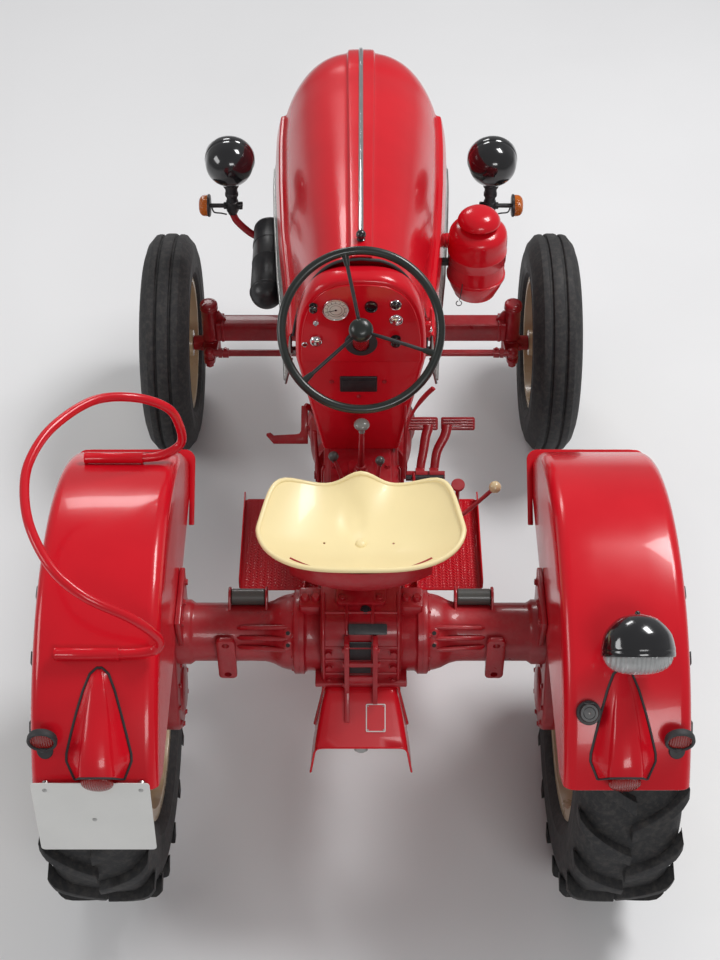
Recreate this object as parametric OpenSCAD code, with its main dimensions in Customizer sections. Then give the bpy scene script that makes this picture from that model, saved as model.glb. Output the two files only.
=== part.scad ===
// Vintage single-cylinder farm tractor with a tilting bonnet and steered front wheels.
// Right is +X, forwards is +Y, up is +Z, and the origin is on the ground under the middle.

/* [Axles] */
// Distance from the origin forward to the front axle
front_axle_y = 775; // [740:1:800]
// Distance from the origin back to the rear wheels' axle
rear_axle_back = 745; // [730:1:760]
// Front track, between the middles of the tyres
front_track = 1210; // [1200:1:1260]
// Rear track, between the middles of the tyres
rear_track = 1240; // [1230:1:1250]
// Distance from a front tyre's middle in to its kingpin
kingpin_inset = 122; // [118:1:130]
// Length of the steering arms behind the kingpins
steer_arm = 96; // [85:1:98]
// Height of the front axle beam
beam_h = 88; // [70:1:100]
// Depth of the front axle beam
beam_d = 66; // [50:1:70]
// How far the axle tubes sit above the rear wheel centres
portal_drop = 180; // [160:1:190]
// Radius of the rear axle tubes
tube_r = 72; // [60:1:80]

/* [Tyres] */
// Rear tyre radius over the lugs
rear_tyre_r = 525; // [510:1:530]
// Rear tyre section width
rear_tyre_w = 250; // [230:1:254]
// Rear rim radius at the bead
rear_bead_r = 305; // [295:1:315]
// Height of the tread lugs
lug_h = 24; // [15:1:30]
// Thickness of a tread lug
lug_w = 27; // [18:1:34]
// Lean of a lug from the axle direction
lug_lean = 42; // [30:1:48]
// Lugs on each half of a rear tyre
lug_count = 20; // [16:1:24]
// Front tyre radius
front_tyre_r = 350; // [335:1:355]
// Front tyre section width
front_tyre_w = 150; // [135:1:156]
// Front rim radius at the bead
front_bead_r = 203; // [195:1:210]
// Depth of the grooves between the front tyre's ribs
groove_d = 11; // [5:1:14]

/* [Bonnet] */
// Rear edge of the bonnet
hood_back_y = 30; // [20:1:50]
// Tip of the nose
hood_nose_y = 1268; // [1250:1:1272]
// Where the nose starts to round in
nose_start_y = 1000; // [960:1:1020]
// Lowest edge of the nose
nose_low_z = 800; // [790:1:815]
// Lower edge of the bonnet sides
skirt_z = 968; // [960:1:985]
// Wall of the bonnet
hood_wall = 5; // [3:1:7]
// How far the side skirts step out
skirt_step = 14; // [8:1:16]
// How far the middle rib stands up
rib_h = 9; // [4:1:12]

/* [Body] */
// Radius of the fender's top
fender_r = 600; // [590:1:615]
// Width of a fender
fender_w = 280; // [270:1:284]
// Gap between a rear tyre and the fender's inner wall
fender_gap = 50; // [47:1:55]
// Sheet thickness of the fenders
fender_t = 4; // [3:1:6]
// Height of the fender's lower edge
fender_low_z = 790; // [785:1:820]
// Angle of the fender's rear end above the axle
fender_end = 31.5; // [28:0.5:40]
// Height of the footplates
floor_z = 420; // [400:1:440]
// Width of the seat
seat_w = 496; // [440:1:520]
// Depth of the seat
seat_d = 350; // [320:1:370]
// Steering wheel radius over the rim
wheel_r = 205; // [190:1:215]
// Steering wheel rim thickness
wheel_rim_d = 22; // [16:1:26]
// Slope of the steering column
column_slope = 48; // [46:1:50]

/* [Engine] */
// Half the width of the crankcase
case_half_w = 112; // [100:1:120]
// Number of cooling fins
fin_count = 15; // [10:1:18]
// Thickness of a cooling fin
fin_t = 5; // [4:1:8]
// Half the width of the cooling fins
fin_half = 118; // [105:1:122]

/* [Hidden] */
$fn = 64;

// Gap left between pieces that only seat on each other
seat_gap = 0.3;
// Radial clearance of a shaft in its bearing
run_fit = 0.05;
// Small overlap that fuses two forms of one piece
fuse = 1;

front_x = front_track / 2;
kingpin_x = front_x - kingpin_inset;
kingpin_span = 2 * kingpin_x;
rear_y = -rear_axle_back;
rear_x = rear_track / 2;
fender_in = rear_x - rear_tyre_w / 2 - fender_gap;
tube_y = rear_y + 40;
tube_z = rear_tyre_r + portal_drop;
red = [0.78, 0.07, 0.11];
dark_red = [0.50, 0.05, 0.08];
beige = [0.78, 0.69, 0.55];
black = [0.08, 0.08, 0.09];
tyre_grey = [0.16, 0.16, 0.16];
steel = [0.6, 0.6, 0.6];

// Helpers for blocks, rods along an axis and outlines extruded along an axis.
module block(lo, hi) translate(lo) cube(hi - lo);
module rod_x(x0, x1, y, z, r) translate([x0, y, z]) rotate([0, 90, 0]) cylinder(r = r, h = x1 - x0);
module rod_y(y0, y1, x, z, r) translate([x, y0, z]) rotate([-90, 0, 0]) cylinder(r = r, h = y1 - y0);
module rod_z(z0, z1, x, y, r) translate([x, y, z0]) cylinder(r = r, h = z1 - z0);
module prism_x(x0, x1) translate([x0, 0, 0]) rotate([90, 0, 90]) linear_extrude(x1 - x0) children();
module prism_y(y0, y1) translate([0, y1, 0]) rotate([90, 0, 0]) linear_extrude(y1 - y0) children();
module prism_z(z0, z1) translate([0, 0, z0]) linear_extrude(z1 - z0) children();
module flip_x() mirror([1, 0, 0]) children();
module both_sides() { children(); flip_x() children(); }

// Outline of two round ends joined by their outer tangents.
module link_2d(p, rp, q, rq) {
    away = q - p;
    a = atan2(away.y, away.x);
    b = acos((rp - rq) / norm(away));
    translate(p) circle(rp);
    translate(q) circle(rq);
    polygon([p + rp * [cos(a + b), sin(a + b)], q + rq * [cos(a + b), sin(a + b)],
        q + rq * [cos(a - b), sin(a - b)], p + rp * [cos(a - b), sin(a - b)]]);
}

// Outline of a rectangle with round corners, from its two far corners.
module round_rect(lo, hi, r) {
    translate([lo.x + r, lo.y]) square([hi.x - lo.x - 2 * r, hi.y - lo.y]);
    translate([lo.x, lo.y + r]) square([hi.x - lo.x, hi.y - lo.y - 2 * r]);
    for (x = [lo.x + r, hi.x - r], y = [lo.y + r, hi.y - r]) translate([x, y]) circle(r);
}

// Points of an arc, for outlines.
function arc(c, r, a0, a1, n) = [for (i = [0:n]) let (a = a0 + (a1 - a0) * i / n) c + r * [cos(a), sin(a)]];

// Skin over a list of rings with equal numbers of points, closed at both ends.
module skin(rings) {
    n = len(rings[0]);
    m = len(rings);
    pts = [for (r = rings) each r];
    sides = [for (j = [0:m - 2], i = [0:n - 1]) let (k = (i + 1) % n)
        each [[j * n + i, j * n + k, (j + 1) * n + k], [j * n + i, (j + 1) * n + k, (j + 1) * n + i]]];
    first = [for (i = [n - 1:-1:0]) i];
    last = [for (i = [0:n - 1]) (m - 1) * n + i];
    polyhedron(pts, concat(sides, [first, last]));
}

// Round tube swept along points, with rings square to the path.
module sweep(path, r, sides = 12) {
    m = len(path);
    dir = [for (i = [0:m - 1]) let (d = path[min(i + 1, m - 1)] - path[max(i - 1, 0)]) d / norm(d)];
    skin([for (i = [0:m - 1])
        let (t = dir[i], ref = abs(t.z) > 0.9 ? [1, 0, 0] : [0, 0, 1], c = cross(ref, t),
            u = c / norm(c), v = cross(t, u))
        [for (k = [0:sides - 1]) path[i] + r * (cos(360 * k / sides) * u - sin(360 * k / sides) * v)]]);
}

// Smooth curve through hand-set points, with steps between each pair.
function curve(p, steps) = concat([for (i = [0:len(p) - 2], s = [0:steps - 1])
    let (a = p[max(i - 1, 0)], b = p[i], c = p[i + 1], d = p[min(i + 2, len(p) - 1)], t = s / steps)
    0.5 * (2 * b + (c - a) * t + (2 * a - 5 * b + 4 * c - d) * t * t + (3 * b - a - 3 * c + d) * t * t * t)],
    [p[len(p) - 1]]);

// Places a revolved form with its axis along X and its outer face outwards, on the right side.
module on_axle(x, y, z) translate([x, y, z]) rotate([0, 90, 0]) children();

// Rear tyre: carcass revolved, with two staggered rows of leaning lugs.
tread_r = rear_tyre_r - lug_h;
rear_rim_half = rear_tyre_w / 2 - 27;
flange_h = 26;
lug_half = 82;
lug_mid = 60;
module rear_tyre_right() color(tyre_grey) on_axle(rear_x, rear_y, rear_tyre_r) {
    hw = rear_tyre_w / 2;
    wall = 16;
    side_r = (tread_r + rear_bead_r) / 2;
    seat = rear_rim_half - seat_gap;
    lip = rear_bead_r + flange_h + seat_gap;
    outer = [[rear_bead_r + seat_gap, seat], [lip, seat], [lip + 10, hw - 11], [side_r - 10, hw - 1],
        [side_r + 28, hw], [tread_r - 32, hw - 8], [tread_r - 10, hw - 26], [tread_r - 2, hw - 55],
        [tread_r, 0]];
    inner = [[tread_r - wall - 8, 0], [tread_r - wall - 10, hw - 62], [tread_r - wall - 22, hw - 38],
        [side_r + 20, hw - wall], [side_r - 10, hw - wall - 2], [rear_bead_r + 26, hw - wall - 22],
        [rear_bead_r + seat_gap, seat - wall - 14]];
    half = concat(outer, inner);
    for (m = [0, 1]) mirror([0, 0, m]) rotate_extrude($fn = 96) polygon(half);
    reach = lug_half * sin(lug_lean) + lug_w / 2 * cos(lug_lean);
    top = sqrt(rear_tyre_r * rear_tyre_r - reach * reach);
    profile = [[tread_r - 14, -lug_half], [top, -lug_half], [top - 2, 52], [tread_r - 16, lug_half],
        [tread_r - 42, lug_half], [tread_r - 20, 48]];
    for (m = [0, 1], i = [0:lug_count - 1])
        mirror([0, 0, m]) rotate([0, 0, 360 * (i + m / 2) / lug_count])
            translate([0, 0, lug_mid]) rotate([-lug_lean, 0, 0])
                translate([0, lug_w / 2, 0]) rotate([90, 0, 0]) linear_extrude(lug_w) polygon(profile);
}
module rear_tyre_left() flip_x() rear_tyre_right();

// Front tyre with three ribs.
front_rim_half = front_tyre_w / 2 - 21;
front_flange_h = 14;
module front_tyre_right() color(tyre_grey) on_axle(front_x, front_axle_y, front_tyre_r) {
    hw = front_tyre_w / 2;
    wall = 12;
    g = front_tyre_r - groove_d;
    b = front_bead_r + seat_gap;
    seat = front_rim_half - seat_gap;
    half = [[b, seat], [b + front_flange_h, seat], [b + 24, hw - 6], [b + 60, hw - 1], [b + 85, hw],
        [b + 118, hw - 8],
        [front_tyre_r - 13, hw - 24], [front_tyre_r - 5, hw - 29], [front_tyre_r - 3, hw - 49], [g, hw - 53],
        [g, hw - 57], [front_tyre_r, hw - 60], [front_tyre_r, 0], [g - wall, 0], [g - wall, hw - 40],
        [b + 100, hw - wall - 6], [b + 60, hw - wall - 2], [b + 24, hw - wall - 10], [b, seat - wall - 6]];
    for (m = [0, 1]) mirror([0, 0, m]) rotate_extrude($fn = 96) polygon(half);
}
module front_tyre_left() flip_x() front_tyre_right();

// Rear rim: channel, dished disc and the hub with its drive shaft.
rear_hub_face = 8;
rear_shaft_r = 38;
final_in_x = fender_in + 7;
final_out_x = rear_x - 90;
module rear_rim_right() color(beige) on_axle(rear_x, rear_y, rear_tyre_r) {
    b = rear_bead_r;
    h = rear_hub_face;
    flange_in = final_out_x + 6 - rear_x;
    shaft_in = final_in_x + 12 - rear_x;
    f = b + flange_h;
    e = rear_rim_half;
    rotate_extrude($fn = 96) polygon([[0, h + 30], [56, h + 30], [56, h + 8], [120, h + 8], [146, 52],
        [b - 88, 50], [b - 56, 30], [b - 34, 20], [b - 34, 42], [b - 8, 53], [b - 6, e + 6], [f, e + 6],
        [f, e], [b, e], [b - 2, 48], [b - 28, 38], [b - 28, -38], [b - 2, -48], [b, -e], [f, -e],
        [f, -e - 6], [b - 6, -e - 6], [b - 8, -53], [b - 34, -42], [b - 34, 12], [b - 60, 22], [b - 90, 42],
        [150, 44], [125, h], [92, h], [92, h - 24], [62, h - 24], [62, flange_in], [rear_shaft_r, flange_in],
        [rear_shaft_r, shaft_in], [0, shaft_in]]);
    for (i = [0:7]) rotate([0, 0, 45 * i]) translate([80, 0, h + 4]) cylinder(r = 9, h = 18, $fn = 6);
}
module rear_rim_left() flip_x() rear_rim_right();

// Front rim: channel, disc and a closed hub that turns on the stub axle.
stub_r = 17;
hub_in = -64;
hub_out = 40;
module front_rim_right() color(beige) on_axle(front_x, front_axle_y, front_tyre_r) {
    b = front_bead_r;
    bore = stub_r + run_fit;
    f = b + front_flange_h;
    e = front_rim_half;
    rotate_extrude($fn = 96) polygon([[0, hub_out + 13], [34, hub_out + 13], [34, hub_out], [42, hub_out],
        [42, 2], [83, 2], [95, 26], [b - 48, 12], [b - 22, 3], [b - 22, 21], [b - 6, 30], [b - 5, e + 5],
        [f, e + 5], [f, e], [b, e], [b - 1, 26], [b - 17, 17], [b - 17, -17], [b - 1, -26], [b, -e],
        [f, -e], [f, -e - 5], [b - 5, -e - 5], [b - 6, -30], [b - 22, -21], [b - 22, -3],
        [b - 50, 6], [98, 20], [86, -4], [42, -4], [42, hub_in], [bore, hub_in], [bore, hub_out - 3],
        [0, hub_out - 3]]);
    for (i = [0:4]) rotate([0, 0, 72 * i]) translate([62, 0, 0]) cylinder(r = 8, h = 14, $fn = 6);
}
module front_rim_left() flip_x() front_rim_right();

// Front axle: box beam with a bored sleeve for each kingpin and a bore for the swing pin.
beam_z = front_tyre_r + 25;
sleeve_r = 26;
sleeve_top = 505;
pin_r = 15;
swing_z = beam_z + beam_h / 2 + 8;
swing_r = 16;
module front_axle() color(red) difference() {
    union() {
        prism_z(beam_z, beam_z + beam_h)
            translate([-kingpin_x, front_axle_y - beam_d / 2]) square([kingpin_span, beam_d]);
        both_sides() rod_z(beam_z - 1, sleeve_top, kingpin_x, front_axle_y, sleeve_r);
    }
    both_sides() rod_z(beam_z - 10, sleeve_top + 10, kingpin_x, front_axle_y, pin_r + run_fit);
    rod_y(front_axle_y - beam_d, front_axle_y + beam_d, 0, swing_z, swing_r + seat_gap);
}

// Knuckle: kingpin with its cap, stub axle and steering arm.
knuckle_top = beam_z - 2;
arm_low = knuckle_top - 20;
arm_top = knuckle_top - 2;
eye_r = 9;
module knuckle_right() color(dark_red) difference() {
    union() {
        rod_z(front_tyre_r - 48, knuckle_top, kingpin_x, front_axle_y, 29);
        rod_z(knuckle_top - fuse, sleeve_top + 6, kingpin_x, front_axle_y, pin_r);
        rod_z(sleeve_top + 1, sleeve_top + 15, kingpin_x, front_axle_y, 28);
        rod_x(kingpin_x, front_x + hub_in - 1, front_axle_y, front_tyre_r, 24);
        rod_x(kingpin_x, front_x + hub_out - 6, front_axle_y, front_tyre_r, stub_r);
        prism_z(arm_low, arm_top)
            link_2d([kingpin_x, front_axle_y], 26, [kingpin_x, front_axle_y - steer_arm], 18);
    }
    rod_z(arm_low - 5, arm_top + 5, kingpin_x, front_axle_y - steer_arm, eye_r + run_fit);
}
module knuckle_left() color(dark_red) flip_x() knuckle_right();

// Tie rod with a ball end over each steering arm.
tie_r = 11;
tie_z = arm_top + 20;
module tie_rod() color(red) {
    y = front_axle_y - steer_arm;
    rod_x(-kingpin_x, kingpin_x, y, tie_z, tie_r);
    both_sides() {
        rod_z(arm_top + seat_gap, tie_z + 16, kingpin_x, y, 17);
        rod_z(arm_low - 16, tie_z, kingpin_x, y, eye_r);
    }
}

// Front support: casting that carries the axle on its swing pin and the bonnet hinge at its nose.
case_front_y = 690;
case_low_z = 370;
case_top_z = 690;
hinge_y = 1190;
hinge_z = nose_low_z - 18;
hinge_r = 10;
hinge_half = 90;
ear_t = 22;
support_half = 70;
module front_support() color(red) difference() {
    union() {
        top = 640;
        clear_z = beam_z + beam_h + 8;
        prism_x(-support_half, support_half) polygon([[case_front_y, clear_z],
            [front_axle_y + 120, clear_z], [hinge_y - 70, 560],
            [hinge_y - 30, 660], [hinge_y - 20, hinge_z - 22], [hinge_y - 90, hinge_z - 22],
            [hinge_y - 180, top],
            [case_front_y, top]]);
        for (s = [-1, 1])
            let (y = front_axle_y + s * (beam_d / 2 + 2), t = s * ear_t)
            prism_y(min(y, y + t), max(y, y + t))
                link_2d([0, swing_z], 34, [0, clear_z + 30], 60);
        rod_y(front_axle_y - beam_d / 2 - ear_t, front_axle_y + beam_d / 2 + ear_t, 0, swing_z, swing_r);
        prism_x(-support_half, support_half)
            link_2d([hinge_y, hinge_z], 18, [hinge_y - 50, hinge_z - 20], 26);
    }
    rod_x(-200, 200, hinge_y, hinge_z, hinge_r + run_fit);
}

// Engine: crankcase, finned cylinder, head, fan housing and its pulley.
cyl_y = 450;
fin_z0 = case_top_z + 18;
fin_pitch = 19;
head_z = fin_z0 + fin_count * fin_pitch;
case_back_y = 200;
tie_gap = 23;
sump_top_z = tie_z + tie_r + tie_gap;
sump_front_y = 630;
bell_z = 540;
bell_r = 158;
bell_neck_r = 132;
fan_z = 870;
fan_r = 128;
fan_back_y = cyl_y + 126;
module engine() color(steel) {
    w = case_half_w;
    prism_y(case_back_y, case_front_y)
        round_rect([-w, sump_top_z], [w, case_top_z], 26);
    prism_y(case_back_y, sump_front_y) round_rect([-w + 14, case_low_z], [w - 14, sump_top_z + 40], 20);
    rod_y(case_back_y, case_back_y + 16, 0, bell_z, bell_r);
    rod_z(case_top_z - fuse, head_z, 0, cyl_y, 84);
    for (i = [0:fin_count - 1])
        prism_z(fin_z0 + i * fin_pitch, fin_z0 + i * fin_pitch + fin_t)
            round_rect([-fin_half, cyl_y - fin_half], [fin_half, cyl_y + fin_half], 40);
    prism_z(head_z - fuse, head_z + 62) round_rect([-100, cyl_y - 105], [100, cyl_y + 105], 24);
    prism_z(head_z + 60, head_z + 96) round_rect([-62, cyl_y - 84], [62, cyl_y + 84], 20);
    rod_y(fan_back_y, case_front_y + 10, 0, fan_z, fan_r);
    rod_y(fan_back_y - 20, fan_back_y + 2, 0, fan_z, 96);
    rod_y(case_front_y + 9, case_front_y + 40, 0, fan_z, 60);
    block([-50, 600, case_top_z - fuse], [50, 670, 760]);
}

// Gearbox with its clutch bell, and its top cover.
box_top_z = 662;
cover_z = 672;
housing_front_y = -590;
box_half = 104;
module gearbox() color(red) {
    rod_y(60, case_back_y, 0, bell_z, bell_r);
    rod_y(20, 61, 0, bell_z, bell_neck_r);
    block([-50, 40, box_top_z - 20], [50, 140, gear_case_z]);
    prism_y(housing_front_y, 40) round_rect([-box_half, 430], [box_half, box_top_z], 24);
    prism_z(box_top_z - fuse, cover_z) round_rect([-84, -420], [84, 20], 20);
    prism_y(housing_front_y, housing_front_y + 18) round_rect([-128, 412], [128, box_top_z + 18], 26);
}

// Rear housing with the seat pad on top, the rear cover and the drive shaft boss.
housing_back_y = -822;
housing_top_z = 846;
housing_half = 150;
pto_z = 535;
cover_half = 98;
flange_r = 104;
module rear_housing() color(red) {
    prism_x(-cover_half, cover_half)
        polygon(concat([[housing_front_y, 470], [housing_front_y, 740]],
            arc([housing_front_y - 70, 776], 70, 0, 90, 6),
            [[housing_back_y + 50, housing_top_z]],
            arc([housing_back_y + 50, housing_top_z - 50], 50, 90, 180, 6),
            [[housing_back_y, 560], [housing_back_y + 60, 450]]));
    rod_x(-housing_half, housing_half, tube_y, tube_z, flange_r);
    rod_y(housing_back_y - 22, housing_back_y + fuse, 0, pto_z + 40, 62);
}

// Axle tube, final drive case and the brackets that carry fender and linkage, right side.
trumpet_r = 96;
trumpet_len = 70;
bracket_x0 = 305;
bracket_x1 = 350;
bracket_y = tube_y - tube_r - 4;
module axle_right() color(red) difference() {
    union() {
        rod_x(housing_half, final_in_x, tube_y, tube_z, tube_r);
        rod_x(housing_half, housing_half + 14, tube_y, tube_z, flange_r);
        translate([housing_half + 13, tube_y, tube_z]) rotate([0, 90, 0])
            cylinder(r1 = trumpet_r, r2 = tube_r - fuse, h = trumpet_len);
        rod_x(final_in_x - 30, final_in_x, tube_y, tube_z, min(tube_r + 8, fender_low_z - tube_z - 1));
        prism_x(final_in_x - fuse, final_out_x) link_2d([tube_y, tube_z], 86, [rear_y, rear_tyre_r], 104);
        prism_x(fender_in - 14, fender_in - seat_gap)
            polygon([[tube_y - 70, tube_z + 20], [tube_y + 70, tube_z + 20],
                [tube_y + 90, fender_low_z + 56], [tube_y - 90, fender_low_z + 56]]);
        block([bracket_x0, bracket_y - 14, tube_z - 72], [bracket_x1, bracket_y, tube_z + 74]);
        block([bracket_x0, bracket_y - fuse, tube_z - 40], [bracket_x1, tube_y, tube_z + 40]);
    }
    rod_x(final_in_x + 8, final_out_x + 10, rear_y, rear_tyre_r, rear_shaft_r + run_fit);
    for (z = [-56, 56])
        rod_y(bracket_y - 30, bracket_y + 10, (bracket_x0 + bracket_x1) / 2, tube_z + z, 9);
}
module axle_left() color(red) flip_x() axle_right();

// Bonnet sections: distance along, half width, crest height.
hood_table = [[hood_back_y, 190, 1290], [240, 203, 1281], [460, 226, 1266], [700, 243, 1246],
    [900, 253, 1228], [nose_start_y, 254, 1216]];
nose = hood_table[len(hood_table) - 1];
hood_power = 2.6;
nose_power = 2.2;
function arch(y, w, top, low) = [for (i = [0:28]) let (a = 180 * i / 28, c = cos(a), s = sin(a))
    [w * sign(c) * pow(abs(c), 2 / hood_power), y, low + (top - low) * pow(abs(s), 2 / hood_power)]];
function hood_rings(grow, from_y) = concat(
    [for (s = hood_table) arch(s[0] == hood_back_y ? from_y : s[0], s[1] + grow, s[2] + grow, nose_low_z)],
    [for (i = [1:9]) let (u = sin(90 * i / 9.6), f = pow(1 - pow(u, nose_power), 1 / nose_power),
        rise = 0.35 * f + 0.65 * pow(1 - pow(u, 4), 0.25))
        arch(nose_start_y + (hood_nose_y + grow - nose_start_y) * u, (nose[1] + grow) * f,
            nose_low_z + (nose[2] + grow - nose_low_z) * rise, nose_low_z)]);
rib_table = [[hood_back_y - 10, 28], [nose_start_y, 40], [hood_nose_y + 40, 45]];
module rib_zone() prism_z(nose_low_z + 20, 1400) polygon(concat([for (p = rib_table) [p[1], p[0]]],
    [for (i = [len(rib_table) - 1:-1:0]) [-rib_table[i][1], rib_table[i][0]]]));
skirt_front_y = 1052;
module hood() color(red) {
    difference() {
        union() {
            skin(hood_rings(0, hood_back_y));
            intersection() { skin(hood_rings(rib_h, hood_back_y)); rib_zone(); }
            intersection() {
                skin(hood_rings(skirt_step, hood_back_y));
                block([-400, hood_back_y - 5, skirt_z], [400, skirt_front_y, skirt_z + 66]);
            }
        }
        skin(hood_rings(-hood_wall, hood_back_y - 20));
        block([-400, -100, nose_low_z - 50], [400, skirt_front_y, skirt_z]);
        block([-400, -100, nose_low_z - 50], [400, 1400, nose_low_z]);
        for (s = [-1, 1], i = [0:5])
            translate([s * (86 + 22 * i) - 4, 1100, 850]) cube([8, 300, 170 - 12 * i]);
    }
    both_sides() prism_x(hinge_half - 16, hinge_half)
        link_2d([hinge_y, hinge_z], 17, [hood_nose_y - 29, nose_low_z + 26], 14);
    rod_x(-hinge_half, hinge_half, hinge_y, hinge_z, hinge_r);
}

// Bright strip along the bonnet's rib and the ball knob at its end.
knob_p = [100, 1312];
module hood_trim() color([0.8, 0.8, 0.82]) {
    intersection() {
        difference() {
            skin(hood_rings(rib_h + 6, hood_back_y));
            skin(hood_rings(rib_h + seat_gap, hood_back_y));
        }
        block([-7, knob_p[0] - 6, 900], [7, 1400, 1400]);
    }
    translate([0, knob_p[0], knob_p[1]]) sphere(r = 13, $fn = 32);
    rod_z(knob_p[1] - 13, knob_p[1], 0, knob_p[0], 7);
}

// Pierced side bands below the bonnet.
band_low = 866;
band_top = skirt_z - 5;
function band_ring(y, w) = let (w0 = w * 0.955, w1 = w0 + 22)
    [[w1, y, band_low], [w1 + 5, y, band_low], [w0 + 5, y, band_top], [w0, y, band_top]];
stay_z = 905;
module side_grilles() color([0.72, 0.72, 0.7]) difference() {
    both_sides() {
        difference() {
            skin([for (t = hood_table) band_ring(t[0] + (t[0] == hood_back_y ? 6 : 0), t[1])]);
            for (i = [0:33]) block([160, 62 + 27 * i, band_low + 16], [320, 74 + 27 * i, band_top - 16]);
        }
        block([sqrt(pow(fan_r, 2) - pow(stay_z - fan_z, 2)) + seat_gap, 636, stay_z],
            [240, 654, stay_z + 20]);
        block([cowl_side_x(stay_z + 20) + seat_gap, 92, stay_z], [196, 110, stay_z + 20]);
    }
    rod_x(200, 270, intake_p[0], intake_p[1], intake_r + 5);
}

// Cowl: sheet housing behind the bonnet, with the flat lower rear wall.
cowl_back_y = -32;
cowl_front_y = 150;
cowl_half = 164;
cowl_top = 1250;
cowl_mid_z = 1000;
cowl_wall = 4;
foot_half = 108;
column_p = [-220, 1270];
column_dir = [cos(column_slope), -sin(column_slope)];
function cowl_outline(g) = concat([[-foot_half + g, cover_z + seat_gap], [foot_half - g, cover_z + seat_gap],
    [cowl_half - g, cowl_mid_z]], [for (i = [1:15]) let (a = 12 * i - 6)
        [(cowl_half - g) * sign(cos(a)) * pow(abs(cos(a)), 0.8),
            cowl_mid_z + (cowl_top - g - cowl_mid_z) * pow(abs(sin(a)), 0.8)]],
    [[-cowl_half + g, cowl_mid_z]]);
function cowl_side_x(z) = foot_half + (cowl_half - foot_half) * (z - cover_z) / (cowl_mid_z - cover_z);
module cowl() color(red) difference() {
    prism_y(cowl_back_y, cowl_front_y) polygon(cowl_outline(0));
    prism_y(cowl_back_y + cowl_wall, cowl_front_y + 5) polygon(cowl_outline(cowl_wall));
    column_rod(-60, 600, column_r + 3);
    block([-foot_half + 10, cowl_back_y + 20, cover_z - 20],
        [foot_half - 10, cowl_front_y + 5, cover_z + 30]);
}

// Rod along the steering column's axis, from the wheel's centre down.
column_r = 21;
module column_rod(t0, t1, r) translate([0, column_p[0], column_p[1]])
    rotate([-90 - column_slope, 0, 0]) translate([0, 0, t0]) cylinder(r = r, h = t1 - t0);

// Arched instrument panel in front of the driver.
panel_t = 5;
module instrument_panel() color(red) difference() {
    prism_y(cowl_back_y - panel_t, cowl_back_y) intersection() {
        polygon(cowl_outline(8));
        translate([-300, cowl_mid_z]) square([600, 400]);
    }
    column_rod(-60, 600, column_r + 3);
}

// Dial, knobs and lamps on the panel: x, z, radius, length.
controls = [[-66, 1118, 35, 7], [-133, 1128, 11, 26], [-122, 1084, 8, 20], [-118, 1042, 17, 16],
    [-152, 1042, 9, 8], [22, 1146, 17, 9], [92, 1140, 16, 12], [92, 1088, 18, 14], [88, 1044, 14, 26]];
module dash_controls() color(black)
    for (c = controls) rod_y(cowl_back_y - panel_t - c[3], cowl_back_y - panel_t, c[0], c[1], c[2]);

// Steering column with the steering gear case on the clutch bell.
gear_case_z = 700;
module steering_column() color(red) difference() {
    union() {
        column_rod(26, 470, column_r);
        block([-40, 40, gear_case_z], [40, 130, 930]);
    }
    column_rod(0, 140, 11 + run_fit);
}

// Steering wheel with three thin spokes.
module steering_wheel() color([0.2, 0.23, 0.21])
    translate([0, column_p[0], column_p[1]]) rotate([-90 - column_slope, 0, 0]) {
        rotate_extrude() translate([wheel_r - wheel_rim_d / 2, 0]) circle(wheel_rim_d / 2);
        cylinder(r = 24, h = 25);
        translate([0, 0, -10]) cylinder(r = 30, h = 12);
        translate([0, 0, 20]) cylinder(r = 11, h = 110);
        for (a = [18, 138, 258]) rotate([0, 0, a]) translate([0, 0, 6]) rotate([0, 90, 0])
            cylinder(r = 6, h = wheel_r - wheel_rim_d / 2);
    }

// Gear, range and hand levers, each with a knob: foot, top, rod radius, knob radius.
levers = [[[0, -112, cover_z], [2, -108, 838], 8, 21], [[-48, -170, cover_z], [-74, -134, 745], 6, 14],
    [[42, -180, cover_z], [51, -153, 748], 6, 14]];
module gear_levers() color(red) {
    for (l = levers) {
        d = l[1] - l[0];
        translate([l[0].x, l[0].y, cover_z]) cylinder(r1 = 22, r2 = 14, h = 18);
        translate(l[0] + [0, 0, 6]) rotate([acos(d.z / norm(d)), 0, atan2(d.x, -d.y)])
            cylinder(r = l[2], h = norm(d) - 6);
        translate(l[1]) sphere(r = l[3], $fn = 32);
    }
}

// Clutch pedal on the left and two brake pedals on the right, on their cross shafts.
pedal_z = 500;
pedal_y = 33;
module pedal_pad(x0, x1, y, z) translate([x0, y, z]) rotate([-40, 0, 0]) cube([x1 - x0, 12, 62]);
module pedals() color(red) {
    shaft_in = sqrt(pow(bell_neck_r, 2) - pow(bell_z - pedal_z - 12, 2)) + seat_gap;
    rod_x(shaft_in, 270, pedal_y, pedal_z, 12);
    for (x = [178, 254]) {
        prism_x(x - 7, x + 7) link_2d([pedal_y, pedal_z], 22, [pedal_y + 70, pedal_z + 70], 11);
        pedal_pad(x - 14, x + 58, pedal_y + 66, pedal_z + 66);
    }
    rod_x(-262, -shaft_in, pedal_y, pedal_z, 12);
    prism_x(-182, -168) link_2d([pedal_y, pedal_z], 22, [pedal_y + 50, pedal_z + 190], 11);
    rod_x(-270, -170, pedal_y + 50, pedal_z + 190, 10);
}

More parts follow.
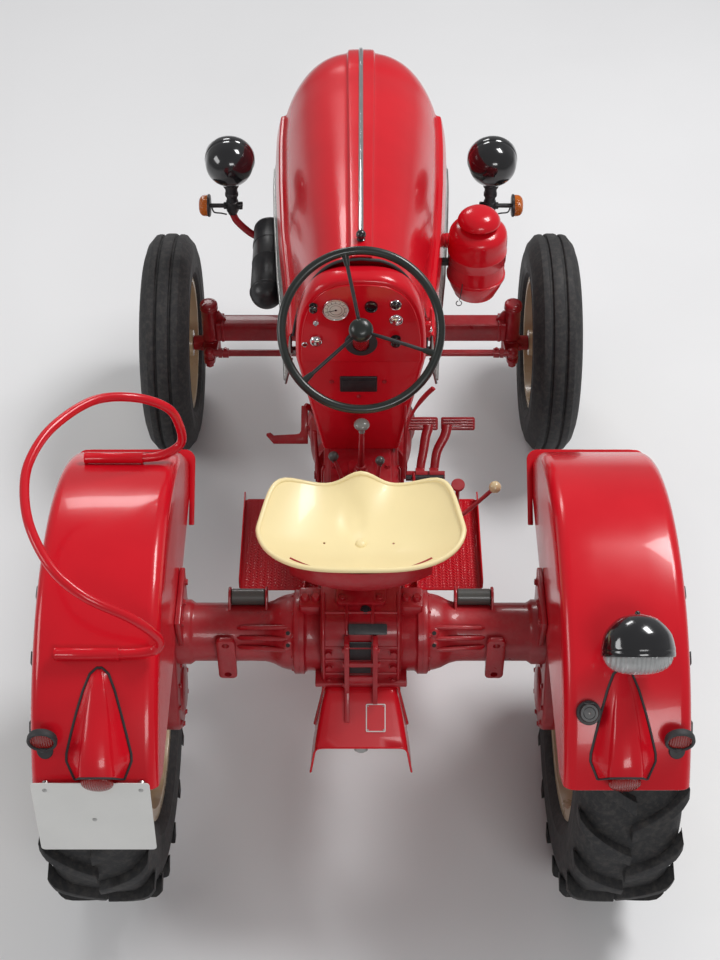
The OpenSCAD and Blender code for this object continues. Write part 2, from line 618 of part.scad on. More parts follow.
// Footplates with an upturned outer edge, hung from the gearbox on a bracket.
plate_out = 335;
plate_front = 12;
plate_back = -332;
plate_t = 4;
module footplate_right() color(red) {
    block([box_half + 14, plate_back, floor_z], [plate_out, plate_front, floor_z + plate_t]);
    block([plate_out - plate_t, plate_back, floor_z], [plate_out, plate_front, floor_z + 42]);
    block([box_half + seat_gap, plate_back, floor_z - 24], [box_half + 18, plate_front - 30, floor_z + 70]);
    for (y = [plate_back + 30, plate_front - 70])
        block([box_half + 16, y, floor_z - 20], [plate_out - 20, y + 24, floor_z + fuse]);
}
module footplate_left() color(red) flip_x() footplate_right();

// Seat pan: dished shell with a raised front, sides that curl up and a rolled rim.
seat_y = -630;
seat_z = 975;
seat_t = 5;
seat_dish = 12;
seat_curl = 56;
seat_back_rise = 44;
seat_bump = 46;
function seat_point(r, a, lower) =
    let (c = cos(a), s = sin(a), k = 1 / pow(pow(abs(c), 3) + pow(abs(s), 3), 1 / 3),
        x = r * k * c, y = r * k * s, front = pow(max(y, 0), 2.2))
    [seat_w / 2 * x, seat_y + seat_d / 2 * y,
        seat_z + seat_curl * pow(abs(x), 3.4) + seat_back_rise * pow(max(-y, 0), 2.6)
            + seat_bump * front * exp(-pow(x / 0.24, 2)) + 14 * front * x * x
            - seat_dish * (1 - x * x) * (1 - y * y) - (lower ? seat_t : 0)];
module seat() color([1, 0.93, 0.72]) {
    n = 40;
    m = 8;
    top = [for (j = [1:m], i = [0:n - 1]) seat_point(j / m, 360 * i / n, false)];
    low = [for (j = [1:m], i = [0:n - 1]) seat_point(j / m, 360 * i / n, true)];
    mid = len(top);
    points = concat(top, low, [seat_point(0.001, 0, false), seat_point(0.001, 0, true)]);
    faces = concat(
        [for (j = [0:m - 2], i = [0:n - 1]) let (k = (i + 1) % n)
            each [[j * n + i, (j + 1) * n + k, (j + 1) * n + i], [j * n + i, j * n + k, (j + 1) * n + k]]],
        [for (j = [0:m - 2], i = [0:n - 1]) let (k = (i + 1) % n)
            each [[mid + j * n + i, mid + (j + 1) * n + i, mid + (j + 1) * n + k],
                [mid + j * n + i, mid + (j + 1) * n + k, mid + j * n + k]]],
        [for (i = [0:n - 1]) let (k = (i + 1) % n, e = (m - 1) * n)
            each [[e + i, e + k, mid + e + k], [e + i, mid + e + k, mid + e + i]]],
        [for (i = [0:n - 1]) let (k = (i + 1) % n) each [[2 * mid, k, i], [2 * mid + 1, mid + i, mid + k]]]);
    polyhedron(points, faces);
}

// Seat carrier: pad, spring plate and the curved band behind the seat.
band_z = 947;
band_h = 58;
band_r = 300;
band_y = -522;
seat_foot_y = seat_y - 20;
module seat_bracket() color(red) {
    block([-60, seat_foot_y - 90, housing_top_z + seat_gap], [60, seat_foot_y + 30, housing_top_z + 12]);
    rod_z(housing_top_z + 10, seat_z - seat_dish - seat_t - seat_gap, 0, seat_foot_y, 34);
    rod_z(housing_top_z + 10, housing_top_z + 40, 0, seat_foot_y, 54);
    prism_z(band_z, band_z + band_h) difference() {
        translate([0, band_y]) circle(band_r);
        translate([0, band_y]) circle(band_r - 5);
        translate([-400, band_y - band_r + 52]) square([800, 800]);
    }
    block([-40, band_y - band_r + 2, band_z], [40, seat_foot_y, band_z + 6]);
}

// Fender: revolved top with rounded edges, cut to its sector, with a deep inner wall.
fender_edge = 28;
flange_at = 147;
flange_lip = [20, 14];
function flange_line(top, side) = let (r = fender_r - fender_edge, e = fender_edge)
    concat([[r - 150, fender_in - side]],
        [for (t = [0:15:90]) [r + (e + top) * sin(t), fender_in + e - (e + side) * cos(t)]],
        [for (t = [90:-15:0]) [r + (e + top) * sin(t), fender_in + fender_w - e + (e + side) * cos(t)]],
        [[fender_r - 52, fender_in + fender_w + side]]);
function flange_rev(line) = [for (i = [len(line) - 1:-1:0]) line[i]];
module fender_flange() intersection() {
    on_axle(0, rear_y, rear_tyre_r) rotate_extrude($fn = 128)
        polygon(concat(flange_line(flange_lip[0], flange_lip[1]), flange_rev(flange_line(-1, -1))));
    prism_x(300, 900) polygon([for (p = [[300, 0], [700, 0], [700, 6], [300, 6]])
        [rear_y - p[0] * cos(flange_at) + p[1] * sin(flange_at),
            rear_tyre_r + p[0] * sin(flange_at) + p[1] * cos(flange_at)]]);
}
module fender_right() color(red) {
    fender_sheet();
    fender_flange();
}
module fender_sheet() intersection() {
    on_axle(0, rear_y, rear_tyre_r) rotate_extrude($fn = 128) {
        r0 = fender_r;
        r1 = fender_r - fender_t;
        e = fender_edge;
        a = fender_in;
        b = fender_in + fender_w;
        polygon(concat([[220, a]], arc([r0 - e, a + e], e, -90, 0, 6), arc([r0 - e, b - e], e, 0, 90, 6),
            [[r0 - 52, b], [r0 - 52, b - fender_t]], arc([r0 - e, b - e], e - fender_t, 90, 0, 6),
            arc([r0 - e, a + e], e - fender_t, 0, -90, 6), [[220, a + fender_t]]));
    }
    prism_x(300, 900) polygon([[rear_y + 900, fender_low_z],
        [rear_y - (fender_low_z - rear_tyre_r) / tan(fender_end), fender_low_z],
        [rear_y - 900, rear_tyre_r + 900 * tan(fender_end)], [rear_y - 900, 1500], [rear_y + 900, 1500]]);
}
module fender_left() color(red) flip_x() fender_right();

// Hand rail on the left fender, with its two sleeves.
rail_foot = 14.3;
rail_front = on_fender(117.6, rail_foot);
rail_rear = on_fender(60.2, rail_foot);
// Rail points: out from the inner wall, ahead of the axle, above the fender's top.
rail_points = [[35, 293, -54], [-9, 309, -30], [-9, 315, 25], [15, 313, 85], [85, 293, 137],
    [175, 255, 163], [255, 155, 175], [291, 45, 179], [289, -55, 179], [261, -160, 175],
    [205, -255, 157], [135, -300, 120], [45, -305, 55], [-5, -301, -15], [1, -303, -52], [35, -305, -63]];
rail_in = 83;
rail_path = concat([[-(fender_in + rail_in), rail_front[0], rail_front[1]]],
    [for (p = rail_points) [-(fender_in + p[0]), rear_y + p[1], rear_tyre_r + fender_r + p[2]]],
    [[-(fender_in + rail_in), rail_rear[0], rail_rear[1]]]);
module handrail() color(red) {
    sweep(curve(rail_path, 3), 11);
    for (p = [rail_front, rail_rear])
        rod_x(-(fender_in + rail_in + 142), -(fender_in + rail_in - fuse), p[0], p[1], rail_foot - seat_gap);
}

// Point of the fender's outer surface at an angle above the rear, with a distance off it.
function on_fender(a, off) = [rear_y - (fender_r + off) * cos(a), rear_tyre_r + (fender_r + off) * sin(a)];

// Wedge lamp housings on the rear of the fenders, and their lenses.
lamp_low = 34;
lamp_high = 57;
lamp_x = fender_in + 127;
lamp_taper = [[lamp_high + 1, 9], [46, 46], [41, 68], [38, 70], [lamp_low - 6, 56]];
lamp_out = [[lamp_low, 62], [lamp_low + 4, 66], [44, 52], [50, 31], [lamp_high, 12]];
module lamp_side() polygon(concat([for (a = [lamp_high:-3:lamp_low]) on_fender(a, seat_gap)],
    [for (p = lamp_out) on_fender(p[0], p[1])]));
module tail_lamps() color(red) both_sides() intersection() {
    prism_x(lamp_x - 100, lamp_x + 100) lamp_side();
    prism_z(700, 1300) polygon(concat([for (p = lamp_taper) [lamp_x - p[1], on_fender(p[0], 0)[0]]],
        [for (p = flange_rev(lamp_taper)) [lamp_x + p[1], on_fender(p[0], 0)[0]]]));
}
module tail_lenses() color([0.7, 0.1, 0.05]) both_sides() {
    p = on_fender(lamp_low, 33);
    translate([lamp_x, p[0], p[1]]) rotate([180 - lamp_low, 0, 0])
        translate([0, 0, seat_gap]) cylinder(r1 = 28, r2 = 23, h = 12);
}

// Round side markers and the trailer socket on the fenders.
module on_fender_disc(x, a, r, h) translate([x, on_fender(a, seat_gap)[0], on_fender(a, seat_gap)[1]])
    rotate([90 - a, 0, 0]) cylinder(r = r, h = h);
module fender_fittings() color(black) {
    both_sides() on_fender_disc(fender_in + 245, 41, 26, 16);
    on_fender_disc(fender_in + 50, 48.3, 27, 26);
}

// Work lamp on the right fender.
work_at = 61.5;
work_foot = on_fender(work_at, 4);
work_p = [fender_in + 148, work_foot[0] - 36, work_foot[1] + 78];
module work_lamp() color(black) {
    translate(work_p) rotate([100, 0, 0]) cylinder(r1 = 46, r2 = 79, h = 34);
    translate(work_p) rotate([100, 0, 0]) translate([0, 0, 33]) cylinder(r = 79, h = 14);
    translate(work_p) sphere(r = 47);
    on_fender_disc(work_p.x, work_at, 20, 8);
    rod_z(work_foot[1] + 3, work_p.z - 12, work_p.x, work_foot[0], 10);
}

// Blank number plate behind the left fender, with its bracket.
plate_p = on_fender(fender_end, 12);
plate_h = 193;
module number_plate() color([0.9, 0.9, 0.88]) translate([0, plate_p[0], plate_p[1]]) {
    prism_x(-(fender_in + 275), -(fender_in + 15))
        polygon([[-1, -7], [-5, -7], [-24, -7 - plate_h], [-20, -7 - plate_h]]);
    for (x = [fender_in + 30, fender_in + 227]) prism_x(-x - 25, -x)
        polygon(concat([for (a = [fender_end + 6:-1.5:fender_end]) on_fender(a, seat_gap) - plate_p],
            [[-0.5, -45], [-6, -45]],
            [for (a = [fender_end:1.5:fender_end + 6]) on_fender(a, 4) - plate_p]));
}

// Muffler beside the bonnet with its inlet pipe.
muffler_p = [-275, 812];
exhaust_path = [[-100.3, 525, 1022], [-108, 525, 1022], [-116, 525, 1022], [-134, 532, 1014],
    [-150, 548, 985], [-168, 575, 930], [-185, 588, 880],
    [-215, 596, 832], [-240, 600, 812]];
module muffler() color(black) {
    rod_y(400, 770, muffler_p[0], muffler_p[1], 50);
    rod_y(388, 401, muffler_p[0], muffler_p[1], 42);
    rod_y(769, 782, muffler_p[0], muffler_p[1], 42);
    sweep(curve(exhaust_path, 3), 18);
    rod_z(muffler_p[1] - 72, muffler_p[1], muffler_p[0], 430, 18);
}

// Oil bath air cleaner with its cap and intake elbow.
cleaner_p = [342, 450];
intake_r = 21;
intake_p = [588, 912];
intake_path = [[318, 505, 952], [300, 540, 945], [280, 572, 928], [262, 586, 915],
    [236, intake_p[0], intake_p[1]], [190, intake_p[0], intake_p[1]], [158, 575, 935],
    [145, 548, 985], [134, 532, 1014], [118, 525, 1024], [109, 525, 1024], [100.3, 525, 1024]];
module air_cleaner() color(red) {
    translate([cleaner_p.x, cleaner_p.y, 0]) {
        translate([0, 0, 800]) cylinder(r1 = 58, r2 = 66, h = 30);
        translate([0, 0, 830]) cylinder(r1 = 66, r2 = 80, h = 22);
        translate([0, 0, 852]) cylinder(r = 80, h = 150);
        translate([0, 0, 1002]) cylinder(r1 = 80, r2 = 50, h = 34);
        translate([0, 0, 1036]) cylinder(r = 34, h = 30);
        translate([0, 0, 1052]) cylinder(r1 = 59, r2 = 50, h = 18);
        translate([0, 0, 1070]) cylinder(r1 = 50, r2 = 20, h = 16);
    }
    sweep(curve(intake_path, 2), intake_r);
}

// Headlamps on their arms, and the side indicators.
lamp_p = [389, 805, 1032];
lamp_r = 72;
arm_r = 11;
module headlamps() color(black) both_sides() {
    translate(lamp_p) rotate([-90, 0, 0]) rotate_extrude()
        polygon(concat([[0, -lamp_r]], [for (a = [-80:16:0]) lamp_r * [cos(a), sin(a)]],
            [[lamp_r + 2, 4], [lamp_r + 2, 30], [lamp_r - 6, 38], [0, 44]]));
}
module lamp_arms() color(dark_red) both_sides() {
    sweep(curve([[support_half + 9, 780, 600], [180, 782, 690], [262, 786, 745], [330, 792, 775],
        [374, 800, 815], [386.5, 804, 838], [389, 805, 850], [389, 805, 860], [389, 805, 890],
        [389, 805, lamp_p.z - lamp_r - 2 - seat_gap]], 3), arm_r);
    block([support_half + seat_gap, 750, 570], [support_half + 6, 810, 630]);
}
module indicators() color([1, 0.5, 0.05]) both_sides() {
    rod_x(lamp_p.x + arm_r + seat_gap, 452, lamp_p.y, 873, 7);
    rod_x(451, 456, lamp_p.y, 873, 26);
    translate([456, lamp_p.y, 873]) rotate([0, 90, 0]) cylinder(r1 = 25, r2 = 18, h = 22);
}

// Hood over the drive shaft: sloping top and flared sides, open below and behind.
boss_face_y = housing_back_y - 22;
guard_top_z = 650;
guard_low_z = 486;
guard_knee = boss_face_y - 4;
guard_run = 104;
guard_drop = 90;
module guard_form(t, share) intersection() {
    front = housing_back_y - seat_gap + 2 * t;
    edge = [guard_knee - guard_run * share, guard_top_z - t - guard_drop * share];
    prism_x(-200, 200) polygon([[front, guard_top_z - t], [guard_knee, guard_top_z - t], edge,
        [edge[0] - 20 * share, guard_low_z - 2 * t], [front, guard_low_z - 2 * t]]);
    prism_y(-1100, -700) polygon([[-88 + t, guard_top_z], [-128 + t, guard_low_z - 10],
        [128 - t, guard_low_z - 10], [88 - t, guard_top_z]]);
}
module pto_guard() color(red) difference() {
    guard_form(0, 1);
    guard_form(4, 1.5);
}
module pto_shaft() color(steel) rod_y(-940, boss_face_y, 0, pto_z, 17.5);

// Two rails of the hitch frame, bent back over the hood, with feet on the rear cover.
rail_y = boss_face_y - 6;
module hitch_frame() color(red) {
    drop = guard_drop / guard_run;
    foot_z = guard_top_z + 5;
    for (rail = [[-40, 56], [28, 22]]) let (x = rail[0], run = rail[1]) {
        prism_x(x, x + 12) polygon([[rail_y, 836], [rail_y, foot_z], [rail_y - run, foot_z - run * drop],
            [rail_y - run - 8, foot_z + 8 - run * drop], [rail_y - 14, foot_z + 10], [rail_y - 14, 836]]);
        for (z = [670, 810])
            block([x, rail_y - fuse, z], [x + 12, housing_back_y - seat_gap, z + 26]);
    }
    block([-40, rail_y - 14, 700], [40, rail_y - 6, 726]);
}

// Grey rubber buffers that lie on the axle tubes.
buffer_r = 20;
module axle_buffers() color([0.25, 0.26, 0.24]) both_sides()
    let (d = tube_r + buffer_r + seat_gap)
    rod_x(236, 318, tube_y + d * cos(60), tube_z + d * sin(60), buffer_r);

engine();
gearbox();
rear_housing();
axle_left();
axle_right();
front_support();
front_axle();
knuckle_left();
knuckle_right();
tie_rod();
front_rim_left();
front_rim_right();
front_tyre_left();
front_tyre_right();
rear_rim_left();
rear_rim_right();
rear_tyre_left();
rear_tyre_right();
hood();
hood_trim();
side_grilles();
cowl();
instrument_panel();
dash_controls();
steering_column();
steering_wheel();
gear_levers();
pedals();
footplate_left();
footplate_right();
seat();
seat_bracket();
fender_left();
fender_right();
handrail();
tail_lamps();
tail_lenses();
fender_fittings();
work_lamp();
number_plate();
muffler();
air_cleaner();
headlamps();
lamp_arms();
indicators();
pto_guard();
pto_shaft();
hitch_frame();
axle_buffers();
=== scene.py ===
from math import acos, asin, atan2, cos, exp, hypot, pi, radians, sin, sqrt

import bpy
from bpy.props import FloatProperty, FloatVectorProperty, IntProperty, PointerProperty
from mathutils import Matrix, Vector


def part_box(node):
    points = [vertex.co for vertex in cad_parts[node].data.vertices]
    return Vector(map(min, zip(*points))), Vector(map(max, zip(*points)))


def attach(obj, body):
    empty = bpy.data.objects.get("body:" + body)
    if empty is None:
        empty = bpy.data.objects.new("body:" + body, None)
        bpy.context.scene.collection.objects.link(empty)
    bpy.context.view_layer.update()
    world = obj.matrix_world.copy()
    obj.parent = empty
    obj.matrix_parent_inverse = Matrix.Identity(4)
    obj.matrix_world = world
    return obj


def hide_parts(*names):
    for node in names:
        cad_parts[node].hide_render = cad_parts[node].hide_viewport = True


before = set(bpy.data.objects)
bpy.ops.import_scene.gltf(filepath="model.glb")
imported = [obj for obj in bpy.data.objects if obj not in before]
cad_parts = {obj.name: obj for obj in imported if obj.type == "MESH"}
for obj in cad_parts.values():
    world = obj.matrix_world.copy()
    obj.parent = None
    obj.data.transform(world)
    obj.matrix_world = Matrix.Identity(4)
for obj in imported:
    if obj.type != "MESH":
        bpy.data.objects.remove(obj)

bl_info = {"name": "Farm tractor dressing", "version": (1, 0, 0), "blender": (4, 5, 0),
    "location": "View3D > Sidebar > Tractor",
    "description": "Dresses a small farm tractor with sheet metal, tyres, controls, lamps and finishes",
    "category": "Object",}

MIRROR = Matrix.Scale(-1, 4, (1, 0, 0))
X, Y, Z = Vector((1, 0, 0)), Vector((0, 1, 0)), Vector((0, 0, 1))


def middle(node):
    """Middle of a solid's box."""
    low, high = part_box(node)
    return (low + high) / 2


REAR_WHEEL = middle("rear_tyre_right")
FRONT_WHEEL = middle("front_tyre_right")
LAMP = Vector((0.389, 0.805, 1.032))
SEAT_Y = -0.616
SEAT_BOLT_Y = -0.645
BAND_Y = -0.478
COLUMN_TOP = Vector((0, -0.22, 1.27))
COLUMN_SLOPE = radians(48)
COLUMN = Vector((0, cos(COLUMN_SLOPE), -sin(COLUMN_SLOPE)))
FENDER_RADIUS = 0.6
HINGE = (1.19, 0.782)
SWING_Z = 0.427
KINGPIN_X = 0.483
STEERING_ARM = 0.096
CRANK = Vector((0, 0, 0.54))
FAN = Vector((0, 0, 0.87))
SHAFT = Vector((0, 0, 0.535))
AXLE_TUBE = Vector((0, -0.705, 0.705))
PEDAL_Y, PEDAL_Z = 0.033, 0.5

# The camera of the photograph: its place, its tilt from level, its focal length and height in pixels.
CAMERA = Vector((0, -3.32, 3.965))
CAMERA_DOWN = 46.11
CAMERA_FOCUS = 1681
CAMERA_PIXELS = 960
SENSOR = 36


def length(name, value, description):
    """Size in metres for the sidebar."""
    return FloatProperty(name=name, description=description, default=value, unit="LENGTH", precision=4)


def tint(name, value, description):
    """Colour for the sidebar, in linear values."""
    return FloatVectorProperty(name=name, description=description, default=value, size=3, subtype="COLOR",
        min=0, max=1)


class TractorSizes(bpy.types.PropertyGroup):
    """Sizes of the dressed pieces"""
    hood_back: length("Bonnet back", 0.03, "Rear edge of the bonnet")
    hood_nose: length("Bonnet nose", 1.268, "Tip of the nose")
    hood_low: length("Nose low", 0.8, "Lowest edge of the nose")
    skirt_low: length("Skirt low", 0.968, "Lower edge of the bonnet sides")
    skirt_top: length("Skirt top", 1.034, "Upper edge of the side skirts")
    skirt_front: length("Skirt front", 1.052, "Front end of the side skirts")
    skirt_step: length("Skirt step", 0.014, "How far the side skirts step out")
    rib_height: length("Rib height", 0.009, "How far the middle rib stands up")
    sheet: length("Sheet", 0.004, "Thickness of the sheet metal")
    fender_radius: length("Fender radius", FENDER_RADIUS, "Radius of the fender's top")
    fender_inner: length("Fender inner", 0.445, "Distance from the middle to the inner wall")
    fender_width: length("Fender width", 0.28, "Width of a fender")
    fender_edge: length("Fender edge", 0.028, "Radius of the fender's long edges")
    fender_low: length("Fender low", 0.79, "Height of the fender's lower edge")
    lug_height: length("Lug height", 0.024, "Height of the tread lugs")
    lug_width: length("Lug width", 0.027, "Thickness of a tread lug")
    lugs: IntProperty(name="Lugs", description="Lugs on each half of a rear tyre", default=20, min=8)
    wheel_radius: length("Wheel radius", 0.194, "Middle radius of the steering wheel's rim")
    wheel_rim: length("Wheel rim", 0.011, "Radius of the steering wheel's rim")
    seat_width: length("Seat width", 0.496, "Width of the seat")
    seat_depth: length("Seat depth", 0.316, "Depth of the seat")
    seat_height: length("Seat height", 0.975, "Height of the seat's bottom")
    rail: length("Rail", 0.011, "Radius of the hand rail")
    lamp: length("Headlamp", 0.072, "Radius of a headlamp")
    cleaner: length("Air cleaner", 0.084, "Radius of the air cleaner")
    blink: length("Indicators", 0.875, "Height of the side indicators")


class TractorColours(bpy.types.PropertyGroup):
    """Colours of the finishes"""
    red: tint("Red", (0.62, 0.006, 0.016), "Gloss paint of the sheet metal")
    # Darker than the sheet red: the castings' own paint, partly darkened as painted shade for the shadow the
    # castings sit in
    chassis: tint("Chassis red", (0.4, 0.006, 0.014), "Paint of the castings")
    beige: tint("Rims", (0.56, 0.42, 0.25), "Paint of the wheel rims")
    cream: tint("Seat", (0.93, 0.78, 0.43), "Enamel of the seat")
    tyre: tint("Tyres", (0.022, 0.022, 0.024), "Rubber of the tyres")
    black: tint("Black", (0.01, 0.01, 0.012), "Black enamel of lamps and knobs")
    wheel: tint("Steering wheel", (0.022, 0.028, 0.024), "Moulded rim of the steering wheel")
    engine: tint("Engine", (0.26, 0.26, 0.25), "Cast metal of the engine")
    plate: tint("Plate", (0.72, 0.72, 0.7), "Blank number plate")
    lens: tint("Red lens", (0.3, 0.01, 0.008), "Tail lamp lenses")
    amber: tint("Amber lens", (0.62, 0.14, 0.01), "Side indicator lenses")
    knob: tint("Grey knob", (0.22, 0.23, 0.21), "Knobs of the levers")
    floor: tint("Floor", (0.8, 0.8, 0.81), "Floor around the tractor")


def clear():
    """Leaves edit mode and deselects everything."""
    if bpy.context.object and bpy.context.object.mode != "OBJECT":
        bpy.ops.object.mode_set(mode="OBJECT")
    bpy.ops.object.select_all(action="DESELECT")


def take(o):
    """Makes this object alone selected and active."""
    clear()
    o.select_set(True)
    bpy.context.view_layer.objects.active = o
    return o


def fresh(name):
    """Names the primitive that was just added and writes its place into its mesh."""
    o = bpy.context.object
    o.name = o.data.name = name
    bpy.ops.object.transform_apply(location=True, rotation=True, scale=True)
    return o


def edit(o):
    """Opens this object in edit mode with all of it selected."""
    take(o)
    bpy.ops.object.mode_set(mode="EDIT")
    bpy.ops.mesh.select_all(action="SELECT")


def face_away(o, inside):
    """Turns all faces so that they point away from a point inside."""
    lean = sum(p.area * p.normal.dot(p.center - inside) for p in o.data.polygons)
    if lean < 0:
        edit(o)
        bpy.ops.mesh.flip_normals()
        clear()


def skin(name, rows, wrap=False, inside=None):
    """Sheet of quads through rows of points; wrap joins both ends of each row."""
    clear()
    across = len(rows[0]) + (1 if wrap else 0)
    bpy.ops.mesh.primitive_grid_add(x_subdivisions=across - 1, y_subdivisions=len(rows) - 1)
    o = fresh(name)
    for j, row in enumerate(rows):
        for i in range(across):
            o.data.vertices[j * across + i].co = row[i % len(row)]
    edit(o)
    bpy.ops.mesh.remove_doubles(threshold=1e-6)
    if inside is None:
        bpy.ops.mesh.normals_make_consistent(inside=False)
    clear()
    if inside is not None:
        face_away(o, Vector(inside))
    return o


def lathe(name, profile, centre, axis, steps=48, ring=False, turn=2 * pi, side=None):
    """Spins a profile of (radius, distance along the axis) round an axis through the centre."""
    clear()
    bpy.ops.mesh.primitive_circle_add(vertices=len(profile))
    o = fresh(name)
    centre, axis = Vector(centre), Vector(axis).normalized()
    side = Vector(side) if side else axis.orthogonal().normalized()
    for v, (r, along) in zip(o.data.vertices, profile):
        v.co = centre + axis * along + side * r
    if not ring:
        edit(o)
        bpy.ops.mesh.select_all(action="DESELECT")
        clear()
        for e in o.data.edges:
            e.select = set(e.vertices) == {0, len(profile) - 1}
        for v in o.data.vertices:
            v.select = v.index in (0, len(profile) - 1)
        take(o)
        bpy.ops.object.mode_set(mode="EDIT")
        bpy.ops.mesh.select_mode(type="EDGE")
        bpy.ops.mesh.delete(type="EDGE_FACE")
        bpy.ops.mesh.select_mode(type="VERT")
    edit(o)
    bpy.ops.mesh.spin(steps=steps, angle=turn, center=centre, axis=axis)
    bpy.ops.mesh.select_all(action="SELECT")
    bpy.ops.mesh.remove_doubles(threshold=1e-5)
    bpy.ops.mesh.normals_make_consistent(inside=False)
    clear()
    return o


def block(name, low, high):
    """Box between two corners."""
    clear()
    low, high = Vector(low), Vector(high)
    bpy.ops.mesh.primitive_cube_add(size=1, location=(low + high) / 2, scale=high - low)
    return fresh(name)


def rod(name, start, end, r, r_end=None, sides=32):
    """Round bar, or a cone with another radius at its end."""
    clear()
    start, end = Vector(start), Vector(end)
    bpy.ops.mesh.primitive_cone_add(vertices=sides, radius1=r, radius2=r if r_end is None else r_end,
        depth=(end - start).length, location=(start + end) / 2, rotation=(end - start).to_track_quat("Z",
        "Y").to_euler())
    return fresh(name)


def ball(name, centre, r, squash=(1, 1, 1), sides=32):
    """Sphere, or an ellipsoid."""
    clear()
    bpy.ops.mesh.primitive_uv_sphere_add(segments=sides, ring_count=sides // 2, radius=r, location=centre,
        scale=squash)
    return fresh(name)


def slab(name, outline, push):
    """Flat outline filled and extruded."""
    clear()
    bpy.ops.mesh.primitive_circle_add(vertices=len(outline), fill_type="NGON")
    o = fresh(name)
    for v, p in zip(o.data.vertices, outline):
        v.co = p
    edit(o)
    bpy.ops.mesh.extrude_region_move(TRANSFORM_OT_translate={"value": push})
    bpy.ops.mesh.select_all(action="SELECT")
    bpy.ops.mesh.normals_make_consistent(inside=False)
    clear()
    return o


def curve(points, steps):
    """Smooth line through points, with steps between each pair."""
    p = [Vector(q) for q in points]
    out = []
    for i in range(len(p) - 1):
        a, b, c, d = p[max(i - 1, 0)], p[i], p[i + 1], p[min(i + 2, len(p) - 1)]
        for k in range(steps):
            t = k / steps
            out.append(0.5 * (2 * b + (c - a) * t + (2 * a - 5 * b + 4 * c - d) * t * t
                + (3 * b - a - 3 * c + d) * t ** 3))
    return out + [p[-1]]


def smooth(points, steps):
    """Smooth profile through (radius, along) pairs."""
    return [(p.x, p.y) for p in curve([(a, b, 0) for a, b in points], steps)]


def tube(name, path, r, sides=12, flat=1.0):
    """Bar along a path, closed at both ends; flat narrows it in its own up direction."""
    path = [Vector(p) for p in path]
    radii = r if isinstance(r, (list, tuple)) else [r] * len(path)
    rows, up = [], None
    for i, p in enumerate(path):
        t = (path[min(i + 1, len(path) - 1)] - path[max(i - 1, 0)]).normalized()
        if up is None:
            up = Z if abs(t.z) < 0.9 else Y
        side = t.cross(up).normalized()
        up = side.cross(t).normalized()
        rows.append([p + radii[i] * (cos(a) * side + flat * sin(a) * up)
            for a in (2 * pi * k / sides for k in range(sides))])
    rows = [[path[0]] * sides] + rows + [[path[-1]] * sides]
    return skin(name, rows, wrap=True)


def modify(o, kind, **values):
    """Adds a modifier with these values and applies it."""
    take(o)
    m = o.modifiers.new(kind.title(), kind)
    for key, value in values.items():
        setattr(m, key, value)
    bpy.ops.object.modifier_apply(modifier=m.name)
    return o


def round_edges(o, width, segments=2, angle=32):
    """Rounds the edges that are sharper than the angle."""
    return modify(o, "BEVEL", width=width, segments=segments, limit_method="ANGLE",
        angle_limit=radians(angle), use_clamp_overlap=True)


def subdivide(o, levels=1):
    """Smooths a mesh by subdivision."""
    return modify(o, "SUBSURF", levels=levels, render_levels=levels)


def thicken(o, t, offset=-1):
    """Gives a sheet its thickness, inwards."""
    return modify(o, "SOLIDIFY", thickness=t, offset=offset, use_even_offset=False)


def cut(o, cutter):
    """Takes a cutter's form out of an object and removes the cutter."""
    modify(o, "BOOLEAN", object=cutter, operation="DIFFERENCE", solver="EXACT")
    bpy.data.objects.remove(cutter)
    return o


def join(name, parts):
    """Joins objects into one."""
    clear()
    for p in parts:
        p.select_set(True)
    bpy.context.view_layer.objects.active = parts[0]
    bpy.ops.object.join()
    o = bpy.context.object
    o.name = o.data.name = name
    return o


def copy(o, matrix, name="copy"):
    """Copy with its own mesh, moved, turned or mirrored by a matrix."""
    c = o.copy()
    c.data = o.data.copy()
    c.name = c.data.name = name
    bpy.context.scene.collection.objects.link(c)
    c.data.transform(matrix)
    if matrix.determinant() < 0:
        c.data.flip_normals()
    return c


def turned(angle, axis, centre):
    """Matrix of a turn round an axis through a centre."""
    centre = Vector(centre)
    return Matrix.Translation(centre) @ Matrix.Rotation(angle, 4, axis) @ Matrix.Translation(-centre)


def around(o, count, axis, centre):
    """The object and its copies round an axis."""
    return [o] + [copy(o, turned(2 * pi * k / count, axis, centre)) for k in range(1, count)]


def bolt(place, axis, r=0.008, h=0.006):
    """Hexagon bolt head on a washer."""
    place, axis = Vector(place), Vector(axis).normalized()
    washer = rod("washer", place - axis * 0.001, place + axis * 0.0015, r * 1.35, sides=20)
    head = round_edges(rod("head", place, place + axis * h, r, sides=6), 0.0008, 1)
    return join("bolt", [head, washer])


def plate(name, outline, low, high, axis="X", width=0.0, segments=2):
    """Outline in the plane across an axis, extruded along that axis, with its sharp edges rounded."""
    place = {"X": lambda a, b: (low, a, b), "Y": lambda a, b: (a, low, b), "Z": lambda a,
        b: (a, b, low)}[axis]
    push = {"X": X, "Y": Y, "Z": Z}[axis] * (high - low)
    o = slab(name, [place(a, b) for a, b in outline], push)
    return round_edges(o, width, segments, 50) if width else o


def mm(*rows):
    """Rows of sizes given in millimetres, in metres."""
    return [tuple(v / 1000 for v in row) for row in rows]


def link(p, rp, q, rq, n=10):
    """Outline round two circles."""
    base, d = atan2(q[1] - p[1], q[0] - p[0]), hypot(q[0] - p[0], q[1] - p[1])
    phi = acos((rp - rq) / d)
    first = [base + phi + (2 * pi - 2 * phi) * k / n for k in range(n + 1)]
    second = [base - phi + 2 * phi * k / n for k in range(n + 1)]
    return [(p[0] + rp * cos(a), p[1] + rp * sin(a)) for a in first] \
        + [(q[0] + rq * cos(a), q[1] + rq * sin(a)) for a in second]


